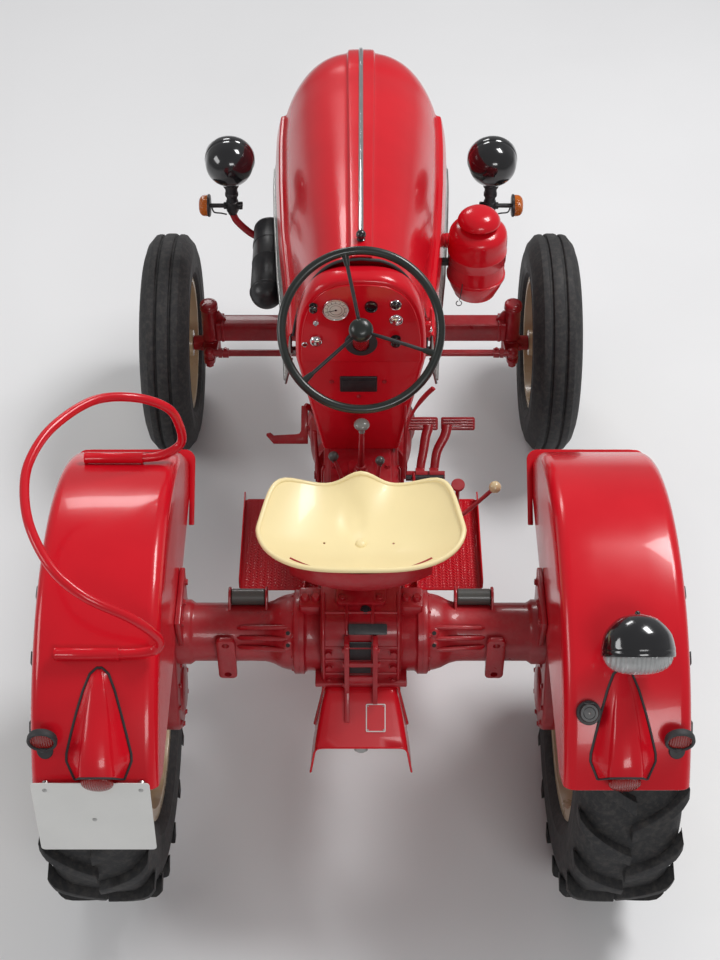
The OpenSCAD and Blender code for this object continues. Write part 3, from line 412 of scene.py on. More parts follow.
def rounded(low, high, r, n=5):
    """Outline of a rectangle with round corners."""
    out = []
    for x, y, start in ((high[0] - r, high[1] - r, 0), (low[0] + r, high[1] - r, 90),
            (low[0] + r, low[1] + r, 180), (high[0] - r, low[1] + r, 270)):
        out += [(x + r * cos(radians(start + 90 * k / n)), y + r * sin(radians(start + 90 * k / n)))
            for k in range(n + 1)]
    return out


def bolts(spots, axis, r=0.007, h=0.006):
    """Hexagon bolt heads at several places."""
    return [bolt(p, axis, r, h) for p in spots]


def ring_of(count, radius, centre, axis, start=0.0):
    """Places on a circle round an axis through a centre."""
    axis, centre = Vector(axis).normalized(), Vector(centre)
    side = axis.orthogonal().normalized()
    return [centre + Matrix.Rotation(start + 2 * pi * k / count, 3, axis) @ side * radius
        for k in range(count)]


def settle(o, body, slot, finish, *nodes, angle=35):
    """Gives a finished piece its finish and its body, and hides the solids it stands for; its slot argument
    is not used.
    """
    o.data.materials.clear()
    o.data.materials.append(finish)
    take(o)
    bpy.ops.object.shade_smooth_by_angle(angle=radians(angle))
    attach(o, body)
    if nodes:
        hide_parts(*nodes)
    return o


def both(o, name, body, slot, finish, *nodes, angle=35):
    """Settles a piece of the right side and its mirrored copy; a * in a name is right or left."""
    left = copy(o, MIRROR, name.replace("*", "left"))
    o.name = o.data.name = name.replace("*", "right")
    for piece, side in ((o, "right"), (left, "left")):
        settle(piece, body.replace("*", side), slot, finish, *[n.replace("*", side) for n in nodes],
            angle=angle)


def shade(c, k):
    """A colour made lighter or darker."""
    return tuple(min(1, v * k) for v in c)


def wire(m, a, out, b, into):
    """Links two nodes of a material."""
    m.node_tree.links.new(a.outputs[out], b.inputs[into])


def node(m, kind, **values):
    """Adds a node and sets its sockets by name."""
    n = m.node_tree.nodes.new("ShaderNode" + kind)
    for key, value in values.items():
        n.inputs[key.replace("_", " ")].default_value = value
    return n


def spread(m, source, out, low, high, new_low=0.0, new_high=1.0):
    """Spreads a node's values from one range to another."""
    n = node(m, "MapRange", From_Min=low, From_Max=high, To_Min=new_low, To_Max=new_high)
    wire(m, source, out, n, "Value")
    return n


def blend_colours(m, factor, out, a, b):
    """Mixes two colours by a factor."""
    n = m.node_tree.nodes.new("ShaderNodeMix")
    n.data_type = "RGBA"
    n.inputs[6].default_value = (*a, 1)
    n.inputs[7].default_value = (*b, 1)
    wire(m, factor, out, n, 0)
    return n


def surface(name, colour, rough=(0.3, 0.4), tone=0.86, patch=5.0, grain=180.0, bump=0.05, metallic=0.0,
        coat=0.0, dust=0.0, dust_colour=(0.3, 0.26, 0.22), sheen=0.5):
    """Finish whose colour and roughness drift over the piece, with a fine grain in its surface."""
    m = bpy.data.materials.get("look_" + name)
    if m:
        return m
    m = bpy.data.materials.new("look_" + name)
    m.use_nodes = True
    skin_node = m.node_tree.nodes["Principled BSDF"]
    skin_node.inputs["Metallic"].default_value = metallic
    skin_node.inputs["Coat Weight"].default_value = coat
    skin_node.inputs["Specular IOR Level"].default_value = sheen
    skin_node.inputs["Coat Roughness"].default_value = 0.04
    place = node(m, "TexCoord")
    drift = node(m, "TexNoise", Scale=patch, Detail=5.0, Roughness=0.6)
    wire(m, place, "Object", drift, "Vector")
    spread_tone = spread(m, drift, "Fac", 0.34, 0.66)
    tones = blend_colours(m, spread_tone, "Result", shade(colour, tone), colour)
    top = tones
    if dust:
        film = node(m, "TexNoise", Scale=patch * 7, Detail=8.0, Roughness=0.7)
        wire(m, place, "Object", film, "Vector")
        amount = spread(m, film, "Fac", 0.45, 0.8, 0.0, dust)
        top = blend_colours(m, amount, "Result", colour, dust_colour)
        wire(m, tones, 2, top, 6)
    wire(m, top, 2, skin_node, "Base Color")
    gloss = spread(m, drift, "Fac", 0.3, 0.7, rough[0], rough[1])
    wire(m, gloss, "Result", skin_node, "Roughness")
    fine = node(m, "TexNoise", Scale=grain, Detail=3.0)
    wire(m, place, "Object", fine, "Vector")
    relief = node(m, "Bump", Strength=bump, Distance=0.002)
    wire(m, fine, "Fac", relief, "Height")
    wire(m, relief, "Normal", skin_node, "Normal")
    return m


def lens_glass(name, colour, clear_part, lines, axis):
    """Ribbed lamp glass: a tinted, partly clear skin with ribs along one axis."""
    m = surface(name, colour, rough=(0.06, 0.14), tone=0.8, patch=30, grain=90, bump=0.02)
    if "ribs" in m:
        return m
    m["ribs"] = 1
    skin_node = m.node_tree.nodes["Principled BSDF"]
    skin_node.inputs["Transmission Weight"].default_value = clear_part
    skin_node.inputs["IOR"].default_value = 1.45
    place = node(m, "TexCoord")
    ribs = node(m, "TexWave", Scale=lines, Distortion=0.0)
    ribs.bands_direction = axis
    wire(m, place, "Object", ribs, "Vector")
    relief = node(m, "Bump", Strength=0.5, Distance=0.003)
    wire(m, ribs, "Fac", relief, "Height")
    wire(m, relief, "Normal", skin_node, "Normal")
    return m


def finishes(context):
    """All finishes by name."""
    c = context.scene.tractor_colours
    mat = {"red": surface("red_gloss", c.red, (0.16, 0.28), 0.88, 2.2, 260, 0.018, coat=0.22, sheen=0.3),
        # Castings: darker red, partly painted shade
        "chassis": surface("chassis_red", c.chassis, (0.26, 0.46), 0.72, 7, 70, 0.22, coat=0.25, dust=0.1,
        sheen=0.4), "engine": surface("cast_grey", c.engine, (0.42, 0.62), 0.7, 9, 120, 0.3, metallic=0.55,
        dust=0.22), "beige": surface("rim_beige", c.beige, (0.22, 0.4), 0.86, 6, 200, 0.05, coat=0.3,
        dust=0.12), "cream": surface("seat_cream", c.cream, (0.3, 0.42), 0.95, 3, 220, 0.02, coat=0.12,
        sheen=0.4), "tyre": surface("tyre_rubber", c.tyre, (0.62, 0.85), 0.6, 9, 330, 0.3, dust=0.16),
        "black": surface("black_enamel", c.black, (0.1, 0.2), 0.7, 6, 240, 0.02, coat=0.7),
        "satin": surface("satin_black", shade(c.black, 1.6), (0.32, 0.48), 0.7, 8, 190, 0.1, dust=0.08),
        "rubber": surface("soft_rubber", shade(c.tyre, 1.3), (0.5, 0.7), 0.7, 14, 300, 0.12),
        "wheel": surface("wheel_plastic", shade(c.wheel, 0.55), (0.24, 0.38), 0.8, 12, 260, 0.03, coat=0.15),
        "chrome": surface("chrome", (0.78, 0.79, 0.81), (0.05, 0.14), 0.93, 14, 320, 0.012, metallic=1.0),
        "steel": surface("bare_steel", (0.5, 0.5, 0.49), (0.26, 0.42), 0.8, 18, 240, 0.08, metallic=1.0),
        "plate": surface("plate_white", c.plate, (0.28, 0.4), 0.95, 6, 150, 0.02, coat=0.3),
        "knob": surface("knob_grey", c.knob, (0.2, 0.32), 0.85, 12, 200, 0.02, coat=0.4),
        "knob_cream": surface("knob_cream", (0.66, 0.52, 0.3), (0.2, 0.3), 0.9, 12, 200, 0.02, coat=0.4),
        "knob_dark": surface("knob_dark", shade(c.knob, 0.35), (0.3, 0.45), 0.85, 14, 200, 0.03, coat=0.2),
        "dial": surface("dial_white", (0.74, 0.76, 0.68), (0.3, 0.4), 0.94, 30, 200, 0.01, coat=0.9),
        # Near-black finish that is painted shade: the sheet behind the nose slots and the discs in the axle
        # lugs' eyes carry it
        "dark": surface("painted_hollow_shade", (0.012, 0.01, 0.01), (0.6, 0.8), 0.7, 20, 200, 0.05),
        "lens": lens_glass("lens_red", c.lens, 0.15, 60, "X"), "amber": lens_glass("lens_amber", c.amber,
        0.15, 70, "Z"), "glass": lens_glass("lens_clear", (0.8, 0.82, 0.82), 0.55, 34, "X"),}
    mat["band"] = pierced(c)
    return mat


def pierced(c):
    """Pale pierced sheet: openings in rows, painted as small near-black spots, painted shade for the dark
    behind them.
    """
    m = surface("pierced_sheet", (0.56, 0.56, 0.54), (0.25, 0.4), 0.86, 8, 200, 0.05, metallic=0.6)
    if "holes" in m:
        return m
    m["holes"] = 1
    skin_node = m.node_tree.nodes["Principled BSDF"]
    place = node(m, "TexCoord")
    cells = node(m, "TexVoronoi", Scale=95.0, Randomness=0.25)
    wire(m, place, "Object", cells, "Vector")
    # Painted shade: the openings are not cut, their near-black colour stands for the dark space behind the
    # sheet
    hole = spread(m, cells, "Distance", 0.32, 0.4)
    tones = blend_colours(m, hole, "Result", (0.01, 0.01, 0.01), (0.56, 0.56, 0.54))
    wire(m, tones, 2, skin_node, "Base Color")
    relief = node(m, "Bump", Strength=0.6, Distance=0.004)
    wire(m, hole, "Result", relief, "Height")
    wire(m, relief, "Normal", skin_node, "Normal")
    return m


HOOD_TABLE = mm((30, 190, 1290), (240, 203, 1281), (460, 226, 1266), (700, 243, 1246), (900, 253, 1228),
    (1000, 254, 1216))
NOSE_START = 1.0


def hood_form(s, y, grow=0.0):
    """Place along, half width and crest of the bonnet's section; past the nose's start y is its share."""
    if y <= NOSE_START:
        for (ya, wa, ta), (yb, wb, tb) in zip(HOOD_TABLE, HOOD_TABLE[1:]):
            if y <= yb:
                k = (y - ya) / (yb - ya)
                return y, wa + (wb - wa) * k + grow, ta + (tb - ta) * k + grow
    u = (y - NOSE_START) / (s.hood_nose - NOSE_START)
    f = max(0.0, 1 - u ** 2.2) ** (1 / 2.2)
    rise = 0.35 * f + 0.65 * max(0.0, 1 - u ** 4) ** 0.25
    low = s.hood_low
    return (NOSE_START + (s.hood_nose + grow - NOSE_START) * u, (HOOD_TABLE[-1][1] + grow) * f,
        low + (HOOD_TABLE[-1][2] + grow - low) * rise)


def step_up(x, a, b):
    """Smooth step from 0 at a to 1 at b."""
    t = min(1.0, max(0.0, (x - a) / (b - a)))
    return t * t * (3 - 2 * t)


def hood_row(s, y):
    """One row of the bonnet's skin, from its right lower edge over the crest to the left."""
    k = 1.3
    _, w, top = hood_form(s, y)
    low = s.hood_low
    edge = s.skirt_low + (low - s.skirt_low) * step_up(y, s.skirt_front - 0.001, s.skirt_front + 0.005)
    rib = 0.028 + 0.012 * min(1, y / NOSE_START)

    def at_height(z):
        return asin(min(0.999, max(0.0, (z - low) / max(top - low, 1e-4))) ** k)

    def at_width(x):
        return acos(min(0.97, x / max(w, 1e-4)) ** k)

    marks = ((at_height(s.skirt_top - 0.005), 7), (at_height(s.skirt_top + 0.002), 2),
        (at_width(rib + 0.002), 16), (at_width(rib - 0.003), 2), (pi / 2, 6))
    angles, skirts, ribs = [at_height(edge)], [1.0], [0.0]
    for n, (a, count) in enumerate(marks, 1):
        start = angles[-1]
        a = max(a, start + 1e-4)
        for i in range(1, count + 1):
            t = i / count
            angles.append(start + (a - start) * t)
            skirts.append(1.0 if n == 1 else 1 - t if n == 2 else 0.0)
            ribs.append(t if n == 4 else 1.0 if n == 5 else 0.0)
    reach = 1 - step_up(y, s.skirt_front - 0.016, s.skirt_front - 0.001)
    half = []
    for a, skirt, r in zip(angles, skirts, ribs):
        grow = s.skirt_step * skirt * reach + s.rib_height * r
        py, pw, pt = hood_form(s, y, grow)
        half.append(Vector((pw * cos(a) ** (1 / k), py, low + (pt - low) * sin(a) ** (1 / k))))
    return half + [Vector((-p.x, p.y, p.z)) for p in reversed(half[:-1])]


class TRACTOR_OT_hood(bpy.types.Operator):
    """Adds the bonnet with its middle rib, side skirts, nose slots and hinge"""
    bl_idname = "tractor.hood"
    bl_label = "Bonnet"

    def execute(self, context):
        s, mat = context.scene.tractor_sizes, finishes(context)
        span = s.hood_nose - NOSE_START
        places = [s.hood_back + (NOSE_START - s.hood_back) * i / 22 for i in range(23)]
        places += [NOSE_START + span * sin(radians(a)) for a in (5, 8)]
        places += [s.skirt_front + d for d in (-0.016, -0.008, -0.001, 0.005)]
        places += [NOSE_START + span * sin(radians(15 + 5 * i)) for i in range(15)]
        places += [NOSE_START + span * sin(radians(a)) for a in (87.5, 90)]
        shell = skin("hood_shell", [hood_row(s, y) for y in sorted(places)], inside=(0, 0.6, 0.9))
        shell = thicken(subdivide(shell), s.sheet)
        slots = [block("slot", (side * (0.086 + 0.022 * i) - 0.004, 1.1, 0.85),
            (side * (0.086 + 0.022 * i) + 0.004, 1.4, 1.02 - 0.012 * i)) for side in (-1, 1)
            for i in range(6)]
        cut(shell, join("slots", slots))
        settle(shell, "hood", "red_paint", mat["red"], "hood", angle=40)
        # Dark sheet behind the nose slots: painted shade for the dark inside of the nose, seen through the
        # slots
        shade_sheet = plate("nose_shade_sheet", rounded((-0.225, 0.815), (0.225, 1.04), 0.05), 1.085, 1.088, "Y")
        settle(shade_sheet, "hood", "black_paint", mat["dark"])
        pin = rod("pin", (-0.09, *HINGE), (0.09, *HINGE), 0.01)
        lug = slab("lug", [(0.076, HINGE[0] + 0.017 * cos(a), HINGE[1] + 0.017 * sin(a))
            for a in (radians(d) for d in range(110, 300, 20))] + [(0.076, 1.238 + 0.014 * cos(a),
            0.826 + 0.014 * sin(a)) for a in (radians(d) for d in range(-60, 130, 20))], (0.014, 0, 0))
        lug = round_edges(lug, 0.0015)
        settle(join("hood_hinge", [lug, copy(lug, MIRROR), pin]), "hood", "red_paint", mat["chassis"], "hood")
        return {"FINISHED"}


class TRACTOR_OT_trim(bpy.types.Operator):
    """Adds the bright strip on the bonnet's rib and the ball knob at its end"""
    bl_idname = "tractor.trim"
    bl_label = "Bonnet strip"

    def execute(self, context):
        s, mat = context.scene.tractor_sizes, finishes(context)
        span = s.hood_nose - NOSE_START
        places = [0.1 + 0.9 * i / 20 for i in range(21)]
        places += [NOSE_START + span * sin(radians(a)) for a in range(6, 84, 4)]
        path = [Vector((0, p[0], p[2])) for p in (hood_form(s, y, s.rib_height) for y in places)]
        path = [p for p in path if p.z > 0.9]
        rows = []
        for i, p in enumerate(path):
            t = (path[min(i + 1, len(path) - 1)] - path[max(i - 1, 0)]).normalized()
            out = X.cross(t)
            swell = 0.62 if i in (0, len(path) - 1) else 1.0
            rows.append([p + swell * (0.007 * cos(a) * X + 0.0055 * max(sin(a), -0.1) * out)
                for a in (2 * pi * k / 16 for k in range(16))])
        strip = skin("hood_strip", [[path[0]] * 16] + rows + [[path[-1]] * 16], wrap=True)
        settle(strip, "hood", "chrome", mat["chrome"], "hood_trim", angle=60)
        knob = ball("hood_knob", (0, 0.1, 1.312), 0.013)
        stem = lathe("stem", mm((0, -16), (11, -16), (11, -13), (6, -10), (5, 0)), (0, 0.1, 1.312), Z, 24)
        settle(join("hood_knob", [knob, stem]), "hood", "black_plastic", mat["black"], "hood_trim")
        return {"FINISHED"}


def cowl_outline(g, count=44):
    """Closed outline of the cowl seen from behind, drawn in by g: flat foot, sloping sides, round top."""
    foot, half, foot_z, mid_z, top = 0.108 - g, 0.172 - g, 0.6723, 1.0, 1.274 - g
    arc = [(half * (1 if cos(a) > 0 else -1) * abs(cos(a)) ** 0.7, mid_z + (top - mid_z) * sin(a) ** 0.7)
        for a in (pi * i / count for i in range(1, count))]
    side = [(foot + (half - foot) * t, foot_z + (mid_z - foot_z) * t) for t in (0, 0.03, 0.3, 0.6, 0.9, 1)]
    return side + arc + [(-x, z) for x, z in reversed(side)]


class TRACTOR_OT_cowl(bpy.types.Operator):
    """Adds the cowl with its rounded rear edge, the instrument panel and the rubber strip at the bonnet"""
    bl_idname = "tractor.cowl"
    bl_label = "Cowl and panel"

    def execute(self, context):
        s, mat = context.scene.tractor_sizes, finishes(context)
        steps = mm((150, 18), (60, 18), (25.5, 18), (24.5, 16.5), (23.5, 2), (22.5, 0.6), (20, 0), (-6, 0),
            (-16, 0.8), (-23.5, 3), (-28.5, 6.6), (-31.2, 11), (-32, 17.5))
        rows = [[(x, y, z) for x, z in cowl_outline(g)] for y, g in steps]
        rows.append(mm((0, -32, 950)) * len(rows[0]))
        shell = thicken(skin("cowl_shell", rows, wrap=True, inside=(0, 0.1, 0.95)), 0.003)
        settle(shell, "chassis", "red_paint", mat["red"], "cowl", angle=32)
        arch = [(x, z) for x, z in cowl_outline(0.016) if z >= 1.0]
        panel = slab("dash_panel", [(x, -0.0318, z) for x, z in arch], (0, -0.005, 0))
        settle(round_edges(panel, 0.0022, 3), "chassis", "red_paint", mat["red"], "instrument_panel",
            angle=40)
        lip = [p for p in hood_row(s, s.hood_back)[8:-8] if abs(p.x) > 0.034]
        lip.insert(len(lip) // 2, Vector((0, s.hood_back, hood_form(s, s.hood_back)[2])))
        lip = [p + Vector((0, -0.0015, 0)) for p in lip]
        settle(tube("hood_rubber", lip, 0.0042, 8), "hood", "rubber", mat["rubber"])
        recess = round_edges(block("dash_recess", (-0.056, -0.0365, 0.89), (0.043, -0.031, 0.945)), 0.004, 3)
        lid = round_edges(block("lid", (-0.05, -0.0385, 0.897), (0.037, -0.036, 0.934)), 0.002)
        settle(join("dash_recess", [recess, lid]), "chassis", "black_plastic", mat["satin"])
        screws = [bolt((x, -0.0325, z), -Y, 0.0045, 0.004) for x, z in mm((-78, 925), (62, 925), (-6, 872))]
        settle(join("cowl_screws", screws), "chassis", "red_paint", mat["chassis"])
        return {"FINISHED"}


def fender_line(s):
    """Half section of a fender as (distance from the middle, radius), from the inner wall to the lip."""
    a, b, e, r = s.fender_inner, s.fender_inner + s.fender_width, s.fender_edge, s.fender_radius
    line = [(a, r - 0.365), (a, r - 0.28), (a, r - 0.18), (a, r - 0.08)]
    line += [(a + e - e * cos(t), r - e + e * sin(t)) for t in (radians(d) for d in range(0, 91, 15))]
    line += [(a + s.fender_width * k, r) for k in (0.3, 0.5, 0.7)]
    line += [(b - e + e * sin(t), r - e + e * cos(t)) for t in (radians(d) for d in range(0, 91, 15))]
    return line + [(b, r - 0.044), (b, r - 0.052)]


class TRACTOR_OT_fenders(bpy.types.Operator):
    """Adds the two boxed fenders and the flange along the front edge"""
    bl_idname = "tractor.fenders"
    bl_label = "Fenders"

    def execute(self, context):
        s, mat = context.scene.tractor_sizes, finishes(context)
        axle = Vector((0, REAR_WHEEL.y, REAR_WHEEL.z))
        rows = []
        for i in range(61):
            a = radians(31.5 + (168 - 31.5) * i / 60)
            out = Vector((0, -cos(a), sin(a)))
            rows.append([axle + Vector((x, 0, 0)) + out * r for x, r in fender_line(s)])
        shell = skin("fender", rows, inside=(0.58, REAR_WHEEL.y, 0.9))
        edit(shell)
        bpy.ops.mesh.bisect(plane_co=(0, 0, s.fender_low), plane_no=(0, 0, -1), clear_outer=True)
        clear()
        shell = round_edges(thicken(shell, s.sheet), 0.0012, 1, 60)
        both(shell, "fender_*_shell", "chassis", "red_paint", mat["red"], "fender_*", angle=40)
        a = radians(147)
        out, ahead = Vector((0, -cos(a), sin(a))), Vector((0, sin(a), cos(a)))
        line = fender_line(s)[2:]
        flange = skin("flange", [[axle + Vector((x, 0, 0)) + out * (r + lift * (1 if r > 0.5 else 0))
            + Vector((shift * (-1 if x < 0.5 else 1 if x > 0.7 else 0), 0, 0)) for x, r in line] for lift,
            shift in mm((-1, 0), (10, 8), (20, 14))])
        flange = round_edges(thicken(flange, 0.006, 0), 0.0025, 2, 50)
        both(flange, "fender_*_flange", "chassis", "red_paint", mat["red"], angle=40)
        return {"FINISHED"}


def rear_carcass():
    """Outline of half a rear tyre's section as (radius, along), bead to tread, with rings on its wall."""
    side = mm((305.3, 97.7), (331.3, 97.7), (334, 101), (342, 112), (360, 119), (364, 121.2), (368, 120),
        (385, 123.2), (405, 124.5), (425, 124.2), (429, 125), (433, 123.6), (452, 120.5), (470, 113),
        (485, 101), (495, 86), (500, 70), (501, 35))
    inner = mm((476, 35), (470, 80), (430, 106), (360, 100), (305.3, 67.7))
    return side, inner


class TRACTOR_OT_rear_tyres(bpy.types.Operator):
    """Adds the lugged rear tyres"""
    bl_idname = "tractor.rear_tyres"
    bl_label = "Rear tyres"

    def execute(self, context):
        s, mat = context.scene.tractor_sizes, finishes(context)
        side, inner = rear_carcass()
        loop = [(r, x) for r, x in side] + mm((501.2, 0)) + [(r, -x) for r, x in reversed(side)]
        loop += [(r, -x) for r, x in reversed(inner)] + mm((476.5, 0)) + [(r, x) for r, x in inner]
        body = lathe("carcass", loop, REAR_WHEEL, X, 96, ring=True)
        top = REAR_WHEEL.z - 0.0004
        lean, half, mid = radians(42), 0.084, 0.06
        clear()
        bpy.ops.mesh.primitive_cube_add(size=2)
        lug = fresh("lug")
        edit(lug)
        bpy.ops.mesh.bisect(plane_co=(0, 0, 0), plane_no=(1, 0, 0))
        for x in (-0.75, -0.5, -0.25, 0.25, 0.5, 0.75, 0.9):
            bpy.ops.mesh.select_all(action="SELECT")
            bpy.ops.mesh.bisect(plane_co=(x, 0, 0), plane_no=(1, 0, 0))
        clear()
        for v in lug.data.vertices:
            u, t, h = v.co
            h = (h + 1) / 2
            bend = 0.01 * u * u
            width = s.lug_width / 2 * (1.25 - 0.25 * h) * (0.86 + 0.14 * (1 - u) / 2)
            along = mid + half * u * cos(lean)
            sweep = half * u * sin(lean) + bend + t * width / cos(lean)
            low = 0.486 if u < 0.3 else 0.486 - 0.03 * ((u - 0.3) / 0.7) ** 1.5
            crown = top - 0.001 * (along / 0.06) ** 2 - (0.016 * max(0, (u - 0.6) / 0.4) ** 2)
            r = low + (crown - low) * h
            along += (1 - h) * 0.006 * max(0, u)
            a = sweep / top
            v.co = REAR_WHEEL + Vector((min(along, 0.1235), r * sin(a), r * cos(a)))
        lug = round_edges(lug, 0.003, 2, 40)
        row = around(lug, s.lugs, "X", REAR_WHEEL)
        flip = turned(pi / s.lugs, "X", REAR_WHEEL) @ Matrix.Translation(REAR_WHEEL) @ MIRROR \
            @ Matrix.Translation(-REAR_WHEEL)
        others = [copy(o, flip) for o in row]
        tyre = join("tyre", [body] + row + others)
        both(tyre, "rear_tyre_*_tread", "wheel_rear_*", "tyre", mat["tyre"], "rear_tyre_*", angle=40)
        return {"FINISHED"}


class TRACTOR_OT_front_tyres(bpy.types.Operator):
    """Adds the ribbed front tyres"""
    bl_idname = "tractor.front_tyres"
    bl_label = "Front tyres"

    def execute(self, context):
        mat = finishes(context)
        side = mm((203.3, 53.7), (217.3, 53.7), (220, 60), (227.3, 69), (240, 72.2), (244, 74.2), (248, 72.8),
            (263.3, 74), (288.3, 75), (293, 74.8), (296, 75.2), (300, 73.5), (321.3, 66.5), (333, 56),
            (338, 52), (345, 46.5), (347.5, 38), (347.5, 29), (345.5, 26.2), (340, 24.5), (339, 21.5),
            (340, 18.5), (348, 16), (350, 11), (350, 0))
        inner = mm((327, 0), (327, 35), (303.3, 57), (263.3, 61), (203.3, 35.7))
        loop = side + [(r, -x) for r, x in reversed(side[:-1])]
        loop += [(r, -x) for r, x in reversed(inner[1:])] + inner
        tyre = lathe("tyre", loop, FRONT_WHEEL, X, 96, ring=True)
        both(tyre, "front_tyre_*_tread", "wheel_front_*", "tyre", mat["tyre"], "front_tyre_*", angle=30)
        return {"FINISHED"}


REAR_RIM = mm((0, 38), (56, 38), (56, 16), (120, 16), (146, 52), (217, 50), (249, 30), (271, 20), (271, 42),
    (297, 53), (299, 104), (331, 104), (331, 98), (305, 98), (303, 48), (277, 38), (277, -38), (303, -48),
    (305, -98), (331, -98), (331, -104), (299, -104), (297, -53), (271, -42), (271, 12), (245, 22), (215, 42),
    (150, 44), (125, 8), (92, 8), (92, -16), (62, -16), (62, -84), (38, -84), (38, -156), (0, -156))
FRONT_RIM = mm((0, 53), (34, 53), (34, 40), (42, 40), (42, 2), (83, 2), (95, 26), (155, 12), (181, 3),
    (181, 21), (197, 30), (198, 59), (217, 59), (217, 54), (203, 54), (202, 26), (186, 17), (186, -17),
    (202, -26), (203, -54), (217, -54), (217, -59), (198, -59), (197, -30), (181, -21), (181, -3), (153, 6),
    (98, 20), (86, -4), (42, -4), (42, -64), (17.05, -64), (17.05, 37), (0, 37))


class TRACTOR_OT_rims(bpy.types.Operator):
    """Adds the four wheel rims with their hubs and bolts"""
    bl_idname = "tractor.rims"
    bl_label = "Rims"

    def execute(self, context):
        mat = finishes(context)
        kinds = (("rear", REAR_RIM, REAR_WHEEL, 8, 0.08, 0.016, 0.01),
            ("front", FRONT_RIM, FRONT_WHEEL, 5, 0.062, 0.002, 0.008))
        for kind, table, centre, count, circle, face, head in kinds:
            rim = lathe("rim", table, centre, X, 96)
            rim = round_edges(rim, 0.0022, 2, 24)
            both(rim, kind + "_rim_*_disc", f"wheel_{kind}_*", "rim_paint", mat["beige"], kind + "_rim_*")
            first = bolt(centre + Vector((face, 0, circle)), X, head, 0.009)
            nuts = join("nuts", around(first, count, "X", centre))
            both(nuts, kind + "_wheel_bolts_*", f"wheel_{kind}_*", "bare_steel", mat["steel"])
            stem = rod("stem", centre + Vector((0.02, 0, table[8][0] - 0.03)),
                centre + Vector((0.062, 0, table[8][0] - 0.045)), 0.004, 0.003, 12)
            both(stem, kind + "_valve_*", f"wheel_{kind}_*", "rubber", mat["rubber"])
        return {"FINISHED"}


def seat_height(s, x, y):
    """Height of the seat pan at shares of its half width and half depth."""
    front = max(y, 0) ** 2.2
    bump = 0.046 * front * exp(-(x / 0.24) ** 2)
    corner = 0.02 * front * abs(x) ** 2
    dent = -0.005 * exp(-(((x + 0.09) / 0.13) ** 2 + ((y - 0.3) / 0.38) ** 2) ** 2)
    return (s.seat_height + 0.056 * abs(x) ** 3.4 + 0.044 * max(-y, 0) ** 2.6 + bump + corner
        + dent - 0.012 * (1 - x * x) * (1 - y * y))


def seat_spot(s, r, a):
    """Point of the seat pan at a share of the way to its rim and an angle."""
    c, d = cos(a), sin(a)
    n = 3.3 + (3.2 if d > 0 else 0.8) * d
    k = 1 / (abs(c) ** n + abs(d) ** n) ** (1 / n)
    x, y = r * k * c, r * k * d
    pull = 0.05 * max(y, 0) ** 3 * (1 - exp(-(x / 0.34) ** 2))
    taper = 1 - 0.125 * max(y + 0.24, 0)
    return Vector((s.seat_width / 2 * x * taper, SEAT_Y + s.seat_depth / 2 * (y - pull),
        seat_height(s, x, y)))


class TRACTOR_OT_seat(bpy.types.Operator):
    """Adds the dished seat pan with its rolled rim, dent, bolt and drain holes"""
    bl_idname = "tractor.seat"
    bl_label = "Seat"

    def execute(self, context):
        s, mat = context.scene.tractor_sizes, finishes(context)
        turns = [2 * pi * i / 96 for i in range(96)]
        rows = [[seat_spot(s, 1e-4, 0)] * 96]
        rows += [[seat_spot(s, 0.985 * r / 26, a) for a in turns] for r in range(1, 27)]
        pan = thicken(skin("seat_pan", rows, wrap=True, inside=(0, SEAT_Y, -1)), 0.003)
        holes = [rod("hole", (x, SEAT_BOLT_Y, 0.95), (x, SEAT_BOLT_Y, 1.02), 0.0032, sides=16)
            for x in (-0.088, 0.078)]
        cut(pan, join("holes", holes))
        edge = [seat_spot(s, 0.985, a) - Vector((0, 0, 0.0035)) for a in turns]
        rows = []
        for i, p in enumerate(edge):
            t = (edge[(i + 1) % 96] - edge[i - 1]).normalized()
            side = t.cross(Z).normalized()
            up = side.cross(t)
            rows.append([p + 0.0062 * (cos(b) * side + sin(b) * up) for b in (pi * k / 6 for k in range(12))])
        roll = skin("roll", rows + [rows[0]], wrap=True)
        settle(join("seat_shell", [pan, roll]), "chassis", "cream_paint", mat["cream"], "seat", angle=50)
        head = lathe("head", mm((0, 6), (6, 5.5), (11, 3), (13, 0), (13, -4)), (0, SEAT_BOLT_Y, 0.9655), Z,
            28)
        settle(head, "chassis", "cream_paint", mat["cream"])
        return {"FINISHED"}


def on_wheel(along, out, angle=0.0):
    """Point in the steering wheel's plane: out from the hub at an angle, and up the column."""
    up = -COLUMN
    return COLUMN_TOP + up * along + (X * cos(angle) + up.cross(X) * sin(angle)) * out


